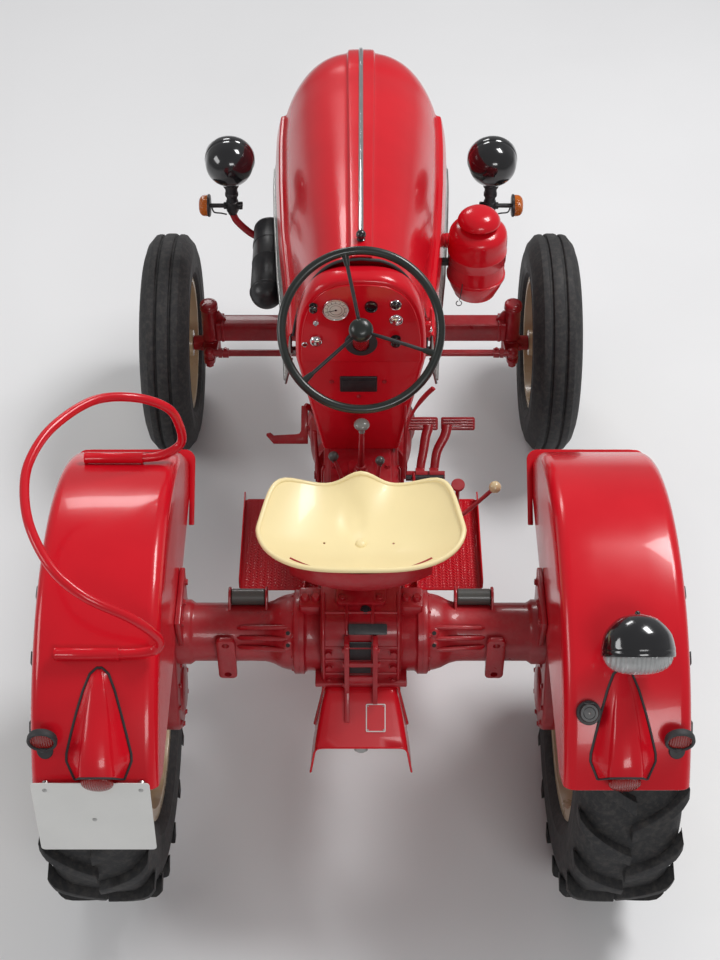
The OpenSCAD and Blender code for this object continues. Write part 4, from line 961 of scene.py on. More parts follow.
class TRACTOR_OT_steering(bpy.types.Operator):
    """Adds the steering wheel with its three spokes and domed hub"""
    bl_idname = "tractor.steering"
    bl_label = "Steering wheel"

    def execute(self, context):
        s, mat = context.scene.tractor_sizes, finishes(context)
        up = -COLUMN
        ring = [(s.wheel_radius + s.wheel_rim * cos(a), s.wheel_rim * sin(a))
            for a in (2 * pi * k / 20 for k in range(20))]
        rim = lathe("wheel_rim", ring, COLUMN_TOP, up, 96, ring=True)
        hub = lathe("hub", smooth(mm((0, 14), (12, 13), (22, 8), (28.5, 0), (30, -10), (27, -22), (18, -26),
            (0, -26)), 4), COLUMN_TOP, up, 40)
        settle(join("steering_rim", [rim, hub]), "steering_wheel", "wheel_plastic", mat["wheel"],
            "steering_wheel", angle=50)
        spokes, sockets = [], []
        for angle in (-18, -138, -258):
            a = radians(angle)
            line = [on_wheel(-0.008 + lift, out, a) for out, lift in mm((20, -10), (40, -6), (70, 0),
                (150, 4), (192, 6))]
            spokes.append(tube("spoke", curve(line, 4), 0.0048, 12))
            sockets.append(rod("socket", on_wheel(-0.003, 0.16, a), on_wheel(-0.001, 0.188, a), 0.0062,
                0.0095, 20))
        settle(join("steering_spokes", spokes), "steering_wheel", "bare_steel", mat["satin"],
            "steering_wheel")
        settle(join("spoke_sockets", sockets), "steering_wheel", "wheel_plastic", mat["wheel"])
        shaft = rod("steering_shaft", COLUMN_TOP + COLUMN * 0.022, COLUMN_TOP + COLUMN * 0.13, 0.011)
        settle(shaft, "steering_wheel", "bare_steel", mat["steel"], "steering_wheel")
        return {"FINISHED"}


class TRACTOR_OT_rail(bpy.types.Operator):
    """Adds the hand rail on the left fender with its two sleeves"""
    bl_idname = "tractor.rail"
    bl_label = "Hand rail"

    def execute(self, context):
        s, mat = context.scene.tractor_sizes, finishes(context)

        def on_fender(angle):
            r = s.fender_radius + 0.0143
            a = radians(angle)
            return REAR_WHEEL.y - r * cos(a), REAR_WHEEL.z + r * sin(a)

        front, rear = on_fender(117.6), on_fender(60.2)
        path = [(-0.528, *front), (-0.48, -0.452, 1.071), (-0.436, -0.436, 1.095), (-0.436, -0.43, 1.15),
            (-0.46, -0.432, 1.21), (-0.53, -0.452, 1.262), (-0.62, -0.49, 1.288), (-0.7, -0.59, 1.3),
            (-0.736, -0.7, 1.304), (-0.734, -0.8, 1.304), (-0.706, -0.905, 1.3), (-0.65, -1.0, 1.282),
            (-0.58, -1.045, 1.245), (-0.49, -1.05, 1.18), (-0.44, -1.046, 1.11), (-0.446, -1.048, 1.073),
            (-0.48, -1.05, 1.062), (-0.528, *rear)]
        loop = tube("hand_rail", curve(path, 8), s.rail, 20)
        sleeves = [lathe("sleeve", mm((11, 0), (14.2, 0), (14.2, 6), (13.5, 7), (13.5, 135), (14.2, 136),
            (14.2, 142), (6, 143), (0, 143)), (-0.527, y, z), -X, 32) for y, z in (front, rear)]
        settle(join("hand_rail", [loop] + sleeves), "chassis", "red_paint", mat["red"], "handrail", angle=45)
        return {"FINISHED"}


def on_arc(angle, off, x=0.0):
    """Point off the fender's outer surface, at an angle in degrees above the rear."""
    r, a = FENDER_RADIUS + off, radians(angle)
    return Vector((x, REAR_WHEEL.y - r * cos(a), REAR_WHEEL.z + r * sin(a)))


class TRACTOR_OT_headlamps(bpy.types.Operator):
    """Adds the headlamps, their bent arms with clamps and the side indicators"""
    bl_idname = "tractor.headlamps"
    bl_label = "Headlamps"

    def execute(self, context):
        s, mat = context.scene.tractor_sizes, finishes(context)
        r = s.lamp
        bowl = lathe("bowl", smooth([(0, -r), (0.5 * r, -0.87 * r), (0.87 * r, -0.5 * r),
            (0.99 * r, -0.1 * r), (r, 0.006)], 5) + [(r + 0.0016, 0.008), (r + 0.0019, 0.012),
            (r + 0.0019, 0.026), (r - 0.001, 0.031), (r - 0.004, 0.031), (r - 0.004, 0.026), (0, 0.01)], LAMP,
            Y, 64)
        neck = lathe("neck", smooth(mm((44, -53), (31, -61.5), (24.5, -67.5), (23, -74)), 4) + mm((0, -74)),
            LAMP, Z, 40)
        both(join("bowl", [bowl, neck]), "headlamp_*", "chassis", "black_paint", mat["black"], "headlamps",
            angle=50)
        rim = lathe("rim", [(r - 0.004, 0.028), (r - 0.0005, 0.031), (r - 0.0015, 0.0345), (r - 0.006, 0.036),
            (r - 0.007, 0.033)], LAMP, Y, 64)
        both(rim, "headlamp_ring_*", "chassis", "chrome", mat["chrome"], "headlamps")
        front = lathe("front", smooth([(r - 0.006, 0.033), (0.8 * r, 0.038), (0.45 * r, 0.0425), (0, 0.044)],
            4), LAMP, Y, 64)
        both(front, "headlamp_glass_*", "chassis", "chrome", mat["glass"], "headlamps", angle=60)
        top = LAMP - Vector((0, 0, r + 0.0026))
        path = curve(mm((77, 780, 600), (180, 782, 690), (262, 786, 745), (330, 792, 775), (374, 800, 815),
            (386.5, 804, 838), (389, 805, 850), (389, 805, 895)), 6)
        arm = tube("arm", path, 0.0108, 20)
        foot = round_edges(block("foot", (0.0703, 0.75, 0.57), (0.0763, 0.81, 0.63)), 0.0012)
        nuts = [bolt((0.0763, y, z), X, 0.006, 0.005) for y in (0.76, 0.8) for z in (0.58, 0.62)]
        both(join("arm", [arm, foot] + nuts), "lamp_arm_*", "chassis", "chassis_paint", mat["chassis"],
            "lamp_arms")
        base = Vector((top.x, top.y, 0))
        grip = lathe("grip", [(0, top.z), (0.0235, top.z), (0.024, 0.953), (0.023, 0.947), (0.019, 0.944),
            (0.018, 0.925), (0.02, 0.922), (0.02, 0.914), (0.0165, 0.911), (0.016, 0.894), (0.0185, 0.892),
            (0.019, 0.86), (0.017, 0.857), (0.014, 0.848), (0, 0.847)], base, Z, 32)
        blink = Vector((base.x, base.y, s.blink))
        ears = [round_edges(block("ear", blink + Vector((-0.021 - 0.01, -0.01 + d, -0.008)),
            blink + Vector((-0.01, -0.004 + d, 0.008))), 0.0015) for d in (0, 0.014)]
        pinch = bolt(blink + Vector((-0.025, -0.01, 0)), -Y, 0.005, 0.004)
        stem = rod("stem", blink + X * 0.015, blink + X * 0.07, 0.0068, sides=20)
        collar = rod("collar", blink + X * 0.017, blink + X * 0.026, 0.0115, sides=6)
        disc = lathe("disc", mm((0, 66), (31, 66), (34.2, 68), (34.2, 73), (32.5, 74.5), (0, 74.5)), blink, X,
            48)
        tail = tube("tail", curve([blink + Vector((0.062, -0.004, -0.006)),
            blink + Vector((0.055, -0.012, -0.016)), blink + Vector((0.035, -0.014, -0.018)),
            blink + Vector((0.018, -0.012, -0.024))], 5), 0.0024, 8)
        both(join("grip", [grip, pinch, stem, collar, disc, tail] + ears), "lamp_grip_*", "chassis",
            "black_plastic", mat["satin"], "lamp_arms", "indicators")
        dome = lathe("dome", smooth(mm((31.8, 73), (32.2, 80), (30, 91), (21.5, 98.5), (10, 100.8), (0, 101)),
            4), blink, X, 48)
        both(dome, "indicator_*", "chassis", "amber_lens", mat["amber"], "indicators", angle=60)
        return {"FINISHED"}


class TRACTOR_OT_muffler(bpy.types.Operator):
    """Adds the muffler with its seams, inlet pipe, strap and outlet"""
    bl_idname = "tractor.muffler"
    bl_label = "Muffler"

    def execute(self, context):
        mat = finishes(context)
        axis = Vector((-0.275, 0, 0.812))
        drum = lathe("drum", smooth(mm((0, 426.2), (20, 428.5), (36, 439), (45, 453), (47.6, 465)), 5)
            + mm((49.2, 466.5), (49.9, 469), (49.9, 474), (49, 476), (48.2, 477), (48.2, 600), (49, 601),
            (49, 603), (48.2, 604), (48.2, 756), (49.5, 758), (49.9, 761), (49.9, 765.5), (47, 768))
            + smooth(mm((45, 772), (34, 780), (18, 784.5), (0, 785.8)), 4), axis, Y, 64)
        path = curve(mm((-100.3, 525, 1022), (-108, 525, 1022), (-116, 525, 1022), (-134, 532, 1014),
            (-150, 548, 985), (-168, 575, 930), (-185, 588, 880), (-215, 596, 832), (-240, 600, 812)), 6)
        pipe = tube("pipe", path, 0.0175, 24)
        flange = rod("flange", (-0.1003, 0.525, 1.022), (-0.107, 0.525, 1.022), 0.027, sides=28)
        nuts = [bolt((-0.107, 0.525, 1.022 + d), -X, 0.006, 0.005) for d in (-0.0215, 0.0215)]
        outlet = lathe("outlet", mm((17.5, 790), (17.8, 740.5), (16, 740), (15.7, 770), (0, 770)),
            (-0.275, 0.51, 0), Z, 32)
        strap = lathe("strap", mm((48.2, 680), (49.9, 681), (49.9, 697), (48.2, 698)), axis, Y, 64)
        seam = tube("seam", [(-0.275 + 0.0484 * sin(0.5), y, 0.812 + 0.0484 * cos(0.5))
            for y in (0.48, 0.596)], 0.0014, 8)
        settle(join("muffler_drum", [drum, pipe, flange, outlet, strap, seam] + nuts), "chassis",
            "black_paint", mat["satin"], "muffler", angle=40)
        return {"FINISHED"}


class TRACTOR_OT_cleaner(bpy.types.Operator):
    """Adds the oil bath air cleaner with its cap, beads, wire clip and intake elbow"""
    bl_idname = "tractor.cleaner"
    bl_label = "Air cleaner"

    def execute(self, context):
        s, mat = context.scene.tractor_sizes, finishes(context)
        r, foot = s.cleaner, Vector((0.329, 0.45, 0.838))
        cap = smooth(mm((0, 284), (22, 282.8), (40, 277), (53, 266), (59.2, 255)), 4) \
            + mm((60, 252), (59.8, 250.2), (57, 250.5), (40, 251.5))
        neck = mm((34, 250), (34, 239), (37, 236.5))
        shoulder = smooth([(0.042, 0.2355), (0.056, 0.233), (0.069, 0.2265), (r - 0.0045, 0.214),
            (r - 0.0015, 0.198), (r - 0.0012, 0.185)], 4)
        body = [(r - 0.0012, 0.154), (r, 0.1525), (r, 0.149), (r - 0.0012, 0.1475), (r - 0.0014, 0.121),
            (r - 0.0022, 0.119), (r - 0.0036, 0.118), (r - 0.0036, 0.072), (r - 0.0028, 0.0705),
            (r - 0.0006, 0.0695), (r, 0.068), (r, 0.062), (r - 0.0015, 0.06), (r - 0.0035, 0.0585),
            (r - 0.0045, 0.054)]
        bowl = smooth([(r - 0.006, 0.048), (0.073, 0.033), (0.066, 0.017), (0.06, 0.005), (0.054, 0.0005),
            (0, 0)], 4)
        drum = lathe("drum", cap + neck + shoulder + body + bowl, foot, Z, 72)
        path = curve(mm((304, 500, 960), (300, 540, 947), (280, 572, 928), (262, 586, 915), (236, 588, 912),
            (190, 588, 912), (158, 575, 935), (145, 548, 985), (134, 532, 1014), (118, 525, 1024),
            (109, 525, 1024), (100.3, 525, 1024)), 5)
        elbow = tube("elbow", path, 0.0205, 24)
        cuff = [tube("cuff", [(x, 0.588, 0.912), (x + 0.01, 0.588, 0.912)], 0.0222, 24)
            for x in (0.246, 0.205)]
        settle(join("cleaner_drum", [drum, elbow] + cuff), "chassis", "red_paint", mat["red"], "air_cleaner",
            angle=40)
        spot = foot + Vector((-0.046, -0.071, 0))
        wire_a = tube("clip", [spot + Vector((0.004, -0.001, 0.082)), spot + Vector((0.003, -0.002, 0.062)),
            spot + Vector((0.0, 0.0, 0.036)), spot + Vector((-0.002, 0.0, 0.022))], 0.0013, 8)
        ring = tube("ring", [spot + Vector((-0.003 + 0.008 * sin(a), -0.001, 0.012 - 0.009 * cos(a)))
            for a in (radians(20 * k) for k in range(-8, 9))], 0.0013, 8)
        stay = round_edges(block("stay", (0.229, 0.44, 0.936), (0.25, 0.462, 0.95)), 0.0015)
        settle(join("cleaner_clip", [wire_a, ring, stay]), "chassis", "bare_steel", mat["satin"])
        return {"FINISHED"}


class TRACTOR_OT_tail_lamps(bpy.types.Operator):
    """Adds the wedge lamps on the fenders with their piping and lenses"""
    bl_idname = "tractor.tail_lamps"
    bl_label = "Tail lamps"

    def execute(self, context):
        s, mat = context.scene.tractor_sizes, finishes(context)
        middle_x = s.fender_inner + 0.127
        # Columns: angle of the foot, half width, half ridge, angle of the ridge, its height.
        marks = ((57.5, 0.004, 0.003, 57.0, 0.004), (56.2, 0.019, 0.01, 55.4, 0.01),
            (52.8, 0.033, 0.019, 51.6, 0.027), (48.2, 0.047, 0.026, 47.2, 0.041),
            (43.7, 0.059, 0.031, 43.0, 0.053), (39.6, 0.069, 0.035, 39.6, 0.0605),
            (38.0, 0.0695, 0.0365, 38.4, 0.062), (34.0, 0.053, 0.0385, 36.4, 0.062))
        rows, edge = [], []
        for n in range(len(marks) * 4 - 3):
            k, f = divmod(n, 4)
            a, b = marks[k], marks[min(k + 1, len(marks) - 1)]
            base_at, half, ridge, top_at, high = [u + (v - u) * f / 4 for u, v in zip(a, b)]
            foot, top = on_arc(base_at, 0.0006), on_arc(top_at, high)
            lift = top - foot
            side = [(half, 0.0), (half * 0.97, 0.03), (half * 0.72 + ridge * 0.28, 0.24),
                (half * 0.42 + ridge * 0.58, 0.44), (half * 0.14 + ridge * 0.86, 0.63)]
            round_part = [(ridge * cos(c), 0.7 + 0.3 * sin(c)) for c in (radians(d)
                for d in range(0, 91, 10))]
            line = side + round_part
            line += [(-x, h) for x, h in reversed(line[:-1])]
            rows.append([foot + lift * h + X * (middle_x + x) for x, h in line])
            edge.append((foot, half))
        last = rows[-1]
        tip = sum(last, Vector()) / len(last)
        rows += [[(p + tip) / 2 for p in last], [tip] * len(last)]
        wedge = skin("wedge", rows, inside=on_arc(42, 0.02, middle_x))
        both(wedge, "tail_lamp_*", "chassis", "red_paint", mat["red"], "tail_lamps", angle=45)
        loop = [f + X * (middle_x - h - 0.0015) for f, h in reversed(edge)]
        loop += [f + X * (middle_x + h + 0.0015) for f, h in edge]
        piping = tube("piping", loop, 0.003, 8)
        ends = tube("ends", [last[0], last[0] * 0.4 + last[5] * 0.6, last[5]], 0.0024, 8)
        more = tube("ends", [last[-1], last[-1] * 0.4 + last[-6] * 0.6, last[-6]], 0.0024, 8)
        arc = tube("arc", last[5:-5], 0.0024, 8)
        both(join("piping", [piping, ends, more, arc]), "tail_piping_*", "chassis", "rubber", mat["rubber"],
            "tail_lamps")
        out = Vector((0, -cos(radians(14)), -sin(radians(14))))
        spot = Vector((middle_x, -1.2655, 0.883))
        lens = lathe("lens", smooth(mm((35.5, 0), (35, 5), (29, 10.5), (16, 14), (0, 15)), 4), spot, out, 48)
        both(lens, "tail_lens_*", "chassis", "red_lens", mat["lens"], "tail_lenses", angle=60)
        return {"FINISHED"}


class TRACTOR_OT_fittings(bpy.types.Operator):
    """Adds the round markers, the trailer socket, the work lamp and the blank plate"""
    bl_idname = "tractor.fittings"
    bl_label = "Fender fittings"

    def execute(self, context):
        s, mat = context.scene.tractor_sizes, finishes(context)
        spot = Vector((s.fender_inner + 0.244, -1.216, 0.958))
        ring = lathe("ring", mm((0, 20), (24, 20), (31, 17), (33, 12), (33, 3), (31.8, 0.5), (28.5, 0),
            (26.2, 1.2), (25.5, 4), (0, 4.5)), spot, Y, 48)
        foot = on_arc(41.4, 0.0003)
        stub = rod("stub", (spot.x, spot.y + 0.01, foot.z), (spot.x, spot.y + 0.01, spot.z - 0.022), 0.01)
        pad = lathe("pad", mm((0, 4), (16, 4), (18, 2), (18, 0.2)), on_arc(40.2, 0, spot.x),
            on_arc(40.2, 1) - on_arc(40.2, 0), 32)
        both(join("ring", [ring, stub, pad]), "marker_ring_*", "chassis", "rubber", mat["rubber"],
            "fender_fittings", angle=40)
        eye = lathe("eye", smooth(mm((25.8, 4), (18, 2.2), (0, 1.2)), 3), spot, Y, 48)
        both(eye, "marker_eye_*", "chassis", "red_lens", mat["lens"], "fender_fittings", angle=60)
        out = on_arc(48.3, 1) - on_arc(48.3, 0)
        plug = on_arc(48.3, 0.0003, s.fender_inner + 0.05)
        body = lathe("body", mm((0, 26), (12, 26), (13.5, 24.5), (19, 24.5), (20.5, 22.5), (21, 17),
            (26.2, 16), (27, 14), (27, 3), (26.2, 0)), plug, out, 48)
        hinge = rod("hinge", plug + out * 0.019 + Vector((-0.012, 0.019, 0.014)) * 0.9,
            plug + out * 0.019 + Vector((0.012, 0.019, 0.014)) * 0.9, 0.0036, sides=16)
        settle(join("trailer_socket", [body, hinge]), "chassis", "black_plastic", mat["satin"],
            "fender_fittings", angle=40)
        stud = ball("stud", plug + out * 0.026, 0.003, sides=16)
        settle(stud, "chassis", "bare_steel", mat["steel"])
        self.work_lamp(s, mat)
        self.plate(s, mat)
        return {"FINISHED"}

    def work_lamp(self, s, mat):
        """Bowl turned down to the rear, with its reflector and ribbed bulging glass."""
        foot = on_arc(61.5, 0.004, s.fender_inner + 0.148)
        spot = foot + Vector((0, -0.056, 0.064))
        out = Vector((0, -cos(radians(39)), -sin(radians(39))))
        bowl = lathe("bowl", smooth(mm((0, -80), (40, -69.3), (69.3, -40), (79, -8), (79, 1)), 5)
            + mm((79.8, 2.5), (80, 5), (80, 11), (78.8, 13), (76.5, 13), (76, 10)), spot, out, 72)
        neck = lathe("neck", mm((19, 4.5), (18.5, 8), (13, 9.5), (12, 26), (15, 30), (0, 30)),
            foot - Z * 0.004, Z, 32)
        button = ball("button", spot - out * 0.079, 0.006, (1, 1, 1), 20)
        settle(join("work_lamp_bowl", [bowl, neck, button]), "chassis", "black_paint", mat["black"],
            "work_lamp", angle=50)
        mirror = lathe("mirror", smooth(mm((75.5, 9), (70, -12), (50, -38), (22, -52), (0, -55)), 4), spot,
            out, 64)
        settle(mirror, "chassis", "chrome", mat["chrome"])
        glass = lathe("glass", smooth(mm((75.8, 11), (74, 19), (66, 33), (48, 45), (24, 50.5), (0, 52)), 4),
            spot, out, 72)
        settle(glass, "chassis", "chrome", mat["glass"], "work_lamp", angle=60)

    def plate(self, s, mat):
        """Blank plate with round corners, hung behind the fender's end."""
        p = Vector((0, -1.2635, 0.862))
        up = Vector((0, 0.029, 0.22)).normalized()
        out = Vector((0, -up.z, up.y))
        a, b = -(s.fender_inner + 0.275), -(s.fender_inner + 0.015)
        outline = [p + X * x + up * h for x, h in rounded((a, -0.208), (b, 0.014), 0.009)]
        sheet = round_edges(slab("blank_plate", outline, out * 0.0022), 0.0006)
        settle(sheet, "chassis", "plate_white", mat["plate"], "number_plate")
        heads = [lathe("screw", mm((0, 4.5), (3.5, 4.2), (5.2, 3), (5.5, 1.8)), p + X * x + up * h, out, 20)
            for x, h in (((a + b) / 2, -0.105), (-s.fender_inner - 0.035, -0.008),
            (-s.fender_inner - 0.245, -0.008))]
        bosses = [rod("boss", p + X * x - up * 0.008 + Y * 0.018, p + X * x - up * 0.008 + out * 0.0005,
            0.0085) for x in (-s.fender_inner - 0.035, -s.fender_inner - 0.245)]
        settle(join("plate_screws", heads + bosses), "chassis", "bare_steel", mat["steel"], "number_plate")


class TRACTOR_OT_controls(bpy.types.Operator):
    """Adds the dial, the knobs, the switches and the lamps of the instrument panel"""
    bl_idname = "tractor.controls"
    bl_label = "Dash controls"

    def execute(self, context):
        mat = finishes(context)

        def at(x, z):
            return Vector((x, -0.0366, z))

        dial = at(-0.064, 1.18)
        bezel = lathe("bezel", mm((0, 0), (35, 0), (35, 4), (34, 6.6), (32.2, 7), (30.5, 5.8), (30.3, 4.6),
            (0, 4.6)), dial, -Y, 64)
        settle(bezel, "chassis", "chrome", mat["chrome"], "dash_controls", angle=50)
        face = lathe("face", mm((0, 5), (30.2, 5), (30.2, 4), (0, 4)), dial, -Y, 64)
        settle(face, "chassis", "plate_white", mat["dial"])
        marks = [lathe("ring", [(r, 0.0048), (r, 0.0053), (r + 0.0008, 0.0053), (r + 0.0008, 0.0048)], dial,
            -Y, 48, ring=True) for r in (0.015, 0.0216)]
        for k in range(-5, 6):
            tick = block("tick", dial + Vector((-0.0006, -0.0054, 0.0232)),
                dial + Vector((0.0006, -0.0048, 0.0278)))
            tick.data.transform(turned(radians(26 * k), Y, dial))
            marks.append(tick)
        hand = block("hand", dial + Vector((-0.0007, -0.006, -0.003)),
            dial + Vector((0.0007, -0.0054, 0.0205)))
        hand.data.transform(turned(radians(-104), Y, dial))
        hub = lathe("hub", mm((0, 6.4), (2.5, 6.2), (2.8, 5)), dial, -Y, 20)
        grip = mm((0, 20.5), (7.5, 20.3), (10, 18.5), (10.8, 15), (10, 11), (7.2, 8.5), (6.8, 3), (10.5, 2),
            (11, 0))
        knobs = [lathe("knob", grip, at(-0.121, 1.19), -Y, 32), lathe("knob",
            [(r * 1.24, h * 1.22) for r, h in grip], at(0.09, 1.08), -Y, 32)]
        socket = lathe("socket", mm((17, 0), (17, 6), (15.8, 8.6), (13, 9), (11.8, 7.8), (11.2, 1.2),
            (0, 1.2)), at(0.026, 1.19), -Y, 40)
        button = lathe("button", smooth(mm((11.8, 3), (11, 8), (7, 11.2), (0, 12.2)), 4), at(0.088, 1.196),
            -Y, 32)
        settle(join("dash_black", marks + [hand, hub, socket, button] + knobs), "chassis", "black_plastic",
            mat["black"], "dash_controls", angle=50)
        nut = rod("nut", at(-0.116, 1.138), at(-0.116, 1.138) - Y * 0.006, 0.008, sides=6)
        lever = tube("lever", [at(-0.116, 1.138) - Y * 0.005, at(-0.116, 1.141) - Y * 0.013,
            at(-0.116, 1.144) - Y * 0.0195], [0.0022, 0.0027, 0.0036], 16)
        dome = lathe("dome", smooth(mm((17, 2.2), (16.8, 6.5), (13.5, 11.8), (7, 15), (0, 15.8)), 4)
            + mm((0, 0)), at(-0.116, 1.076), -Y, 40)
        eye = lathe("eye", mm((8, 0), (8, 3.5), (6.6, 5.2), (5.2, 4.4)), at(-0.146, 1.062), -Y, 32)
        rim = lathe("rim", mm((16, 0), (16, 4), (14.5, 6.2), (12.2, 5.5), (12, 2)), at(0.088, 1.196), -Y, 40)
        barrel = lathe("barrel", mm((18, 0), (18, 3), (16, 5), (13.5, 5.5), (13, 8.5), (11, 9.5), (0, 9.5)),
            at(0.09, 1.144), -Y, 40)
        key = plate("key", link((0.09, 1.146), 0.0052, (0.098, 1.1515), 0.0078), -0.05, -0.0484, "Y", 0.0005,
            1)
        key.data.transform(turned(radians(90), Vector((0.8, 0, 0.6)), (0.09, -0.0492, 1.146)))
        key.data.transform(Matrix.Translation((0, -0.0015, 0)))
        settle(join("dash_bright", [nut, lever, dome, eye, rim, barrel, key]), "chassis", "chrome",
            mat["chrome"], "dash_controls", angle=50)
        glow = lathe("glow", smooth(mm((5.6, 3), (4.6, 5.6), (0, 7)), 3), at(-0.146, 1.062), -Y, 24)
        settle(glow, "chassis", "red_lens", mat["lens"])
        return {"FINISHED"}


class TRACTOR_OT_levers(bpy.types.Operator):
    """Adds the gear and range levers, the hand levers and their knobs"""
    bl_idname = "tractor.levers"
    bl_label = "Levers"

    def execute(self, context):
        mat = finishes(context)
        base = 0.6715
        boots, sticks = [], []
        for (x, y), path, r in (((0, -0.112), mm((0, -112, 680), (1, -114, 750), (2, -108, 826)),
                (0.0095, 0.0065)), ((-0.048, -0.17), mm((-48, -170, 680), (-60, -153, 712), (-74, -134, 740)),
                (0.0065, 0.0045)), ((0.042, -0.18), mm((42, -180, 680), (46, -168, 712), (51, -153, 742)),
                (0.0065, 0.0045))):
            boots.append(lathe("boot", smooth(mm((22, 0), (21.5, 4), (16, 7.5), (15, 15), (11, 18.5)), 3)
                + mm((0, 18.5)), (x, y, base), Z, 32))
            line = curve(path, 6)
            sticks.append(tube("stick", line, [r[0] + (r[1] - r[0]) * k / (len(line) - 1)
                for k in range(len(line))], 16))
        hand = curve(mm((110, -108, 600), (116.6, -103, 660), (120, -90, 730), (125.4, -73, 800),
            (140, -67, 846), (157, -64, 880), (176, -61, 908), (191.7, -63, 930)), 4)
        sticks.append(tube("hand_lever", hand, [0.0042 + 0.003 * step_up(k / len(hand), 0.55, 0.75)
            for k in range(len(hand))], 16, flat=0.6))
        sticks.append(rod("pull", (0.118, -0.06, 0.56), (0.1195, -0.055, 0.86), 0.0028, sides=12))
        sticks.append(rod("clevis", (0.118, -0.06, 0.585), (0.1183, -0.059, 0.625), 0.0065, sides=16))
        side = curve(mm((106, -372, 600), (170, -345, 640), (230, -327, 688), (276, -315, 720),
            (344, -305, 797)), 5)
        sticks.append(tube("side_lever", side, 0.0055, 16))
        sticks.append(rod("side_foot", (0.1035, -0.372, 0.6), (0.122, -0.372, 0.6), 0.02))
        disc = lathe("disc", mm((0, 5), (17, 5), (19, 3), (19, -3), (16.5, -5), (0, -5)),
            (0.2687, -0.1025, 0.6), (0, -0.3, 0.95), 32)
        post = rod("post", (0.2687, -0.1, 0.4235), (0.2687, -0.1015, 0.598), 0.006)
        settle(join("lever_sticks", boots + sticks + [disc, post]), "chassis", "red_paint", mat["chassis"],
            "gear_levers", angle=40)
        knob = lathe("knob", smooth(mm((0, 15), (9, 13.8), (17.5, 8.5), (21.2, 0.5), (18.5, -5), (10, -9.5),
            (7.8, -15), (8.5, -26)), 4) + mm((0, -26)), (0.002, -0.108, 0.838), Z, 40)
        settle(knob, "chassis", "wheel_plastic", mat["knob"], "gear_levers", angle=50)
        balls = [ball("ball", (-0.074, -0.134, 0.745), 0.0142, sides=24),
            ball("ball", (0.051, -0.153, 0.748), 0.0128, sides=24)]
        necks = [rod("neck", (-0.072, -0.137, 0.728), (-0.0735, -0.1345, 0.738), 0.0062),
            rod("neck", (0.05, -0.156, 0.732), (0.0507, -0.1535, 0.741), 0.0062)]
        settle(join("lever_balls", balls + necks), "chassis", "wheel_plastic", mat["knob_dark"],
            "gear_levers")
        cream = ball("side_ball", (0.3485, -0.304, 0.803), 0.0162, sides=24)
        settle(cream, "chassis", "cream_paint", mat["knob_cream"])
        return {"FINISHED"}


class TRACTOR_OT_pedals(bpy.types.Operator):
    """Adds the clutch pedal, the two ribbed brake pedals and their cross shaft"""
    bl_idname = "tractor.pedals"
    bl_label = "Pedals"

    def execute(self, context):
        mat = finishes(context)
        parts, tilt = [], Matrix.Rotation(radians(-40), 4, "X")
        for foot_x, top_x, x0, x1 in mm((169, 192, 129, 220.6), (208.7, 245.8, 229.2, 326.6)):
            path = curve([(foot_x, PEDAL_Y, PEDAL_Z), (foot_x + 0.003, 0.056, 0.522),
                (foot_x + 0.01, 0.082, 0.55), (top_x - 0.007, 0.108, 0.58), (top_x - 0.001, 0.122, 0.596),
                (top_x, 0.131, 0.606)], 5)
            parts.append(tube("arm", path, [0.012 + 0.003 * k / (len(path) - 1) for k in range(len(path))],
                16, flat=0.42))
            parts.append(rod("eye", (foot_x - 0.013, PEDAL_Y, PEDAL_Z), (foot_x + 0.013, PEDAL_Y, PEDAL_Z),
                0.021))
            pad = plate("pad", rounded((x0, 0), (x1, 0.038), 0.006), 0, 0.013, "Y", 0.003)
            ribs = [round_edges(block("rib", (x0 + 0.005, -0.0026, 0.0052 + 0.0078 * k),
                (x1 - 0.005, 0.002, 0.0098 + 0.0078 * k)), 0.0012, 1) for k in range(4)]
            pad = join("pad", [pad] + ribs)
            pad.data.transform(Matrix.Translation((0, 0.122, 0.592)) @ tilt)
            parts.append(pad)
        shafts = [rod("shaft", (a, PEDAL_Y, PEDAL_Z), (b, PEDAL_Y, PEDAL_Z), 0.012) for a,
            b in mm((120, 240), (-100, -134))]
        arm = tube("arm", curve([(-0.118, PEDAL_Y, PEDAL_Z), (-0.113, 0.062, 0.56), (-0.114, 0.092, 0.63),
            (-0.134, 0.112, 0.68), (-0.1586, 0.11, 0.7)], 5), 0.0115, 16, flat=0.5)
        bar = plate("bar", mm((-266.7, 23), (-246, 0), (-149.4, 0), (-149.4, 108.2), (-167.8, 108.2),
            (-169.2, 36.8), (-173, 30.2), (-181.6, 27.6), (-246, 24.4), (-255.2, 32.2), (-266.7, 29.9)), 0.0,
            0.008, "Y", 0.0022)
        bar.data.transform(Matrix.Translation((0, 0.0387, 0.62)) @ tilt)
        hub = rod("eye", (-0.13, PEDAL_Y, PEDAL_Z), (-0.106, PEDAL_Y, PEDAL_Z), 0.02)
        rods = [rod("rod", (-0.118, -0.03, 0.53), (-0.128, 0.01, 0.7), 0.0055, sides=16),
            rod("rod", (0.15, 0.02, 0.52), (0.15, -0.3, 0.56), 0.0045, sides=16)]
        settle(join("pedal_arms", parts + shafts + [arm, bar, hub] + rods), "chassis", "red_paint",
            mat["chassis"], "pedals", angle=40)
        cross = tube("bearing", mm((128, 10, 512), (236, 10, 512)), 0.0085, 16)
        settle(cross, "chassis", "bare_steel", mat["satin"])
        return {"FINISHED"}


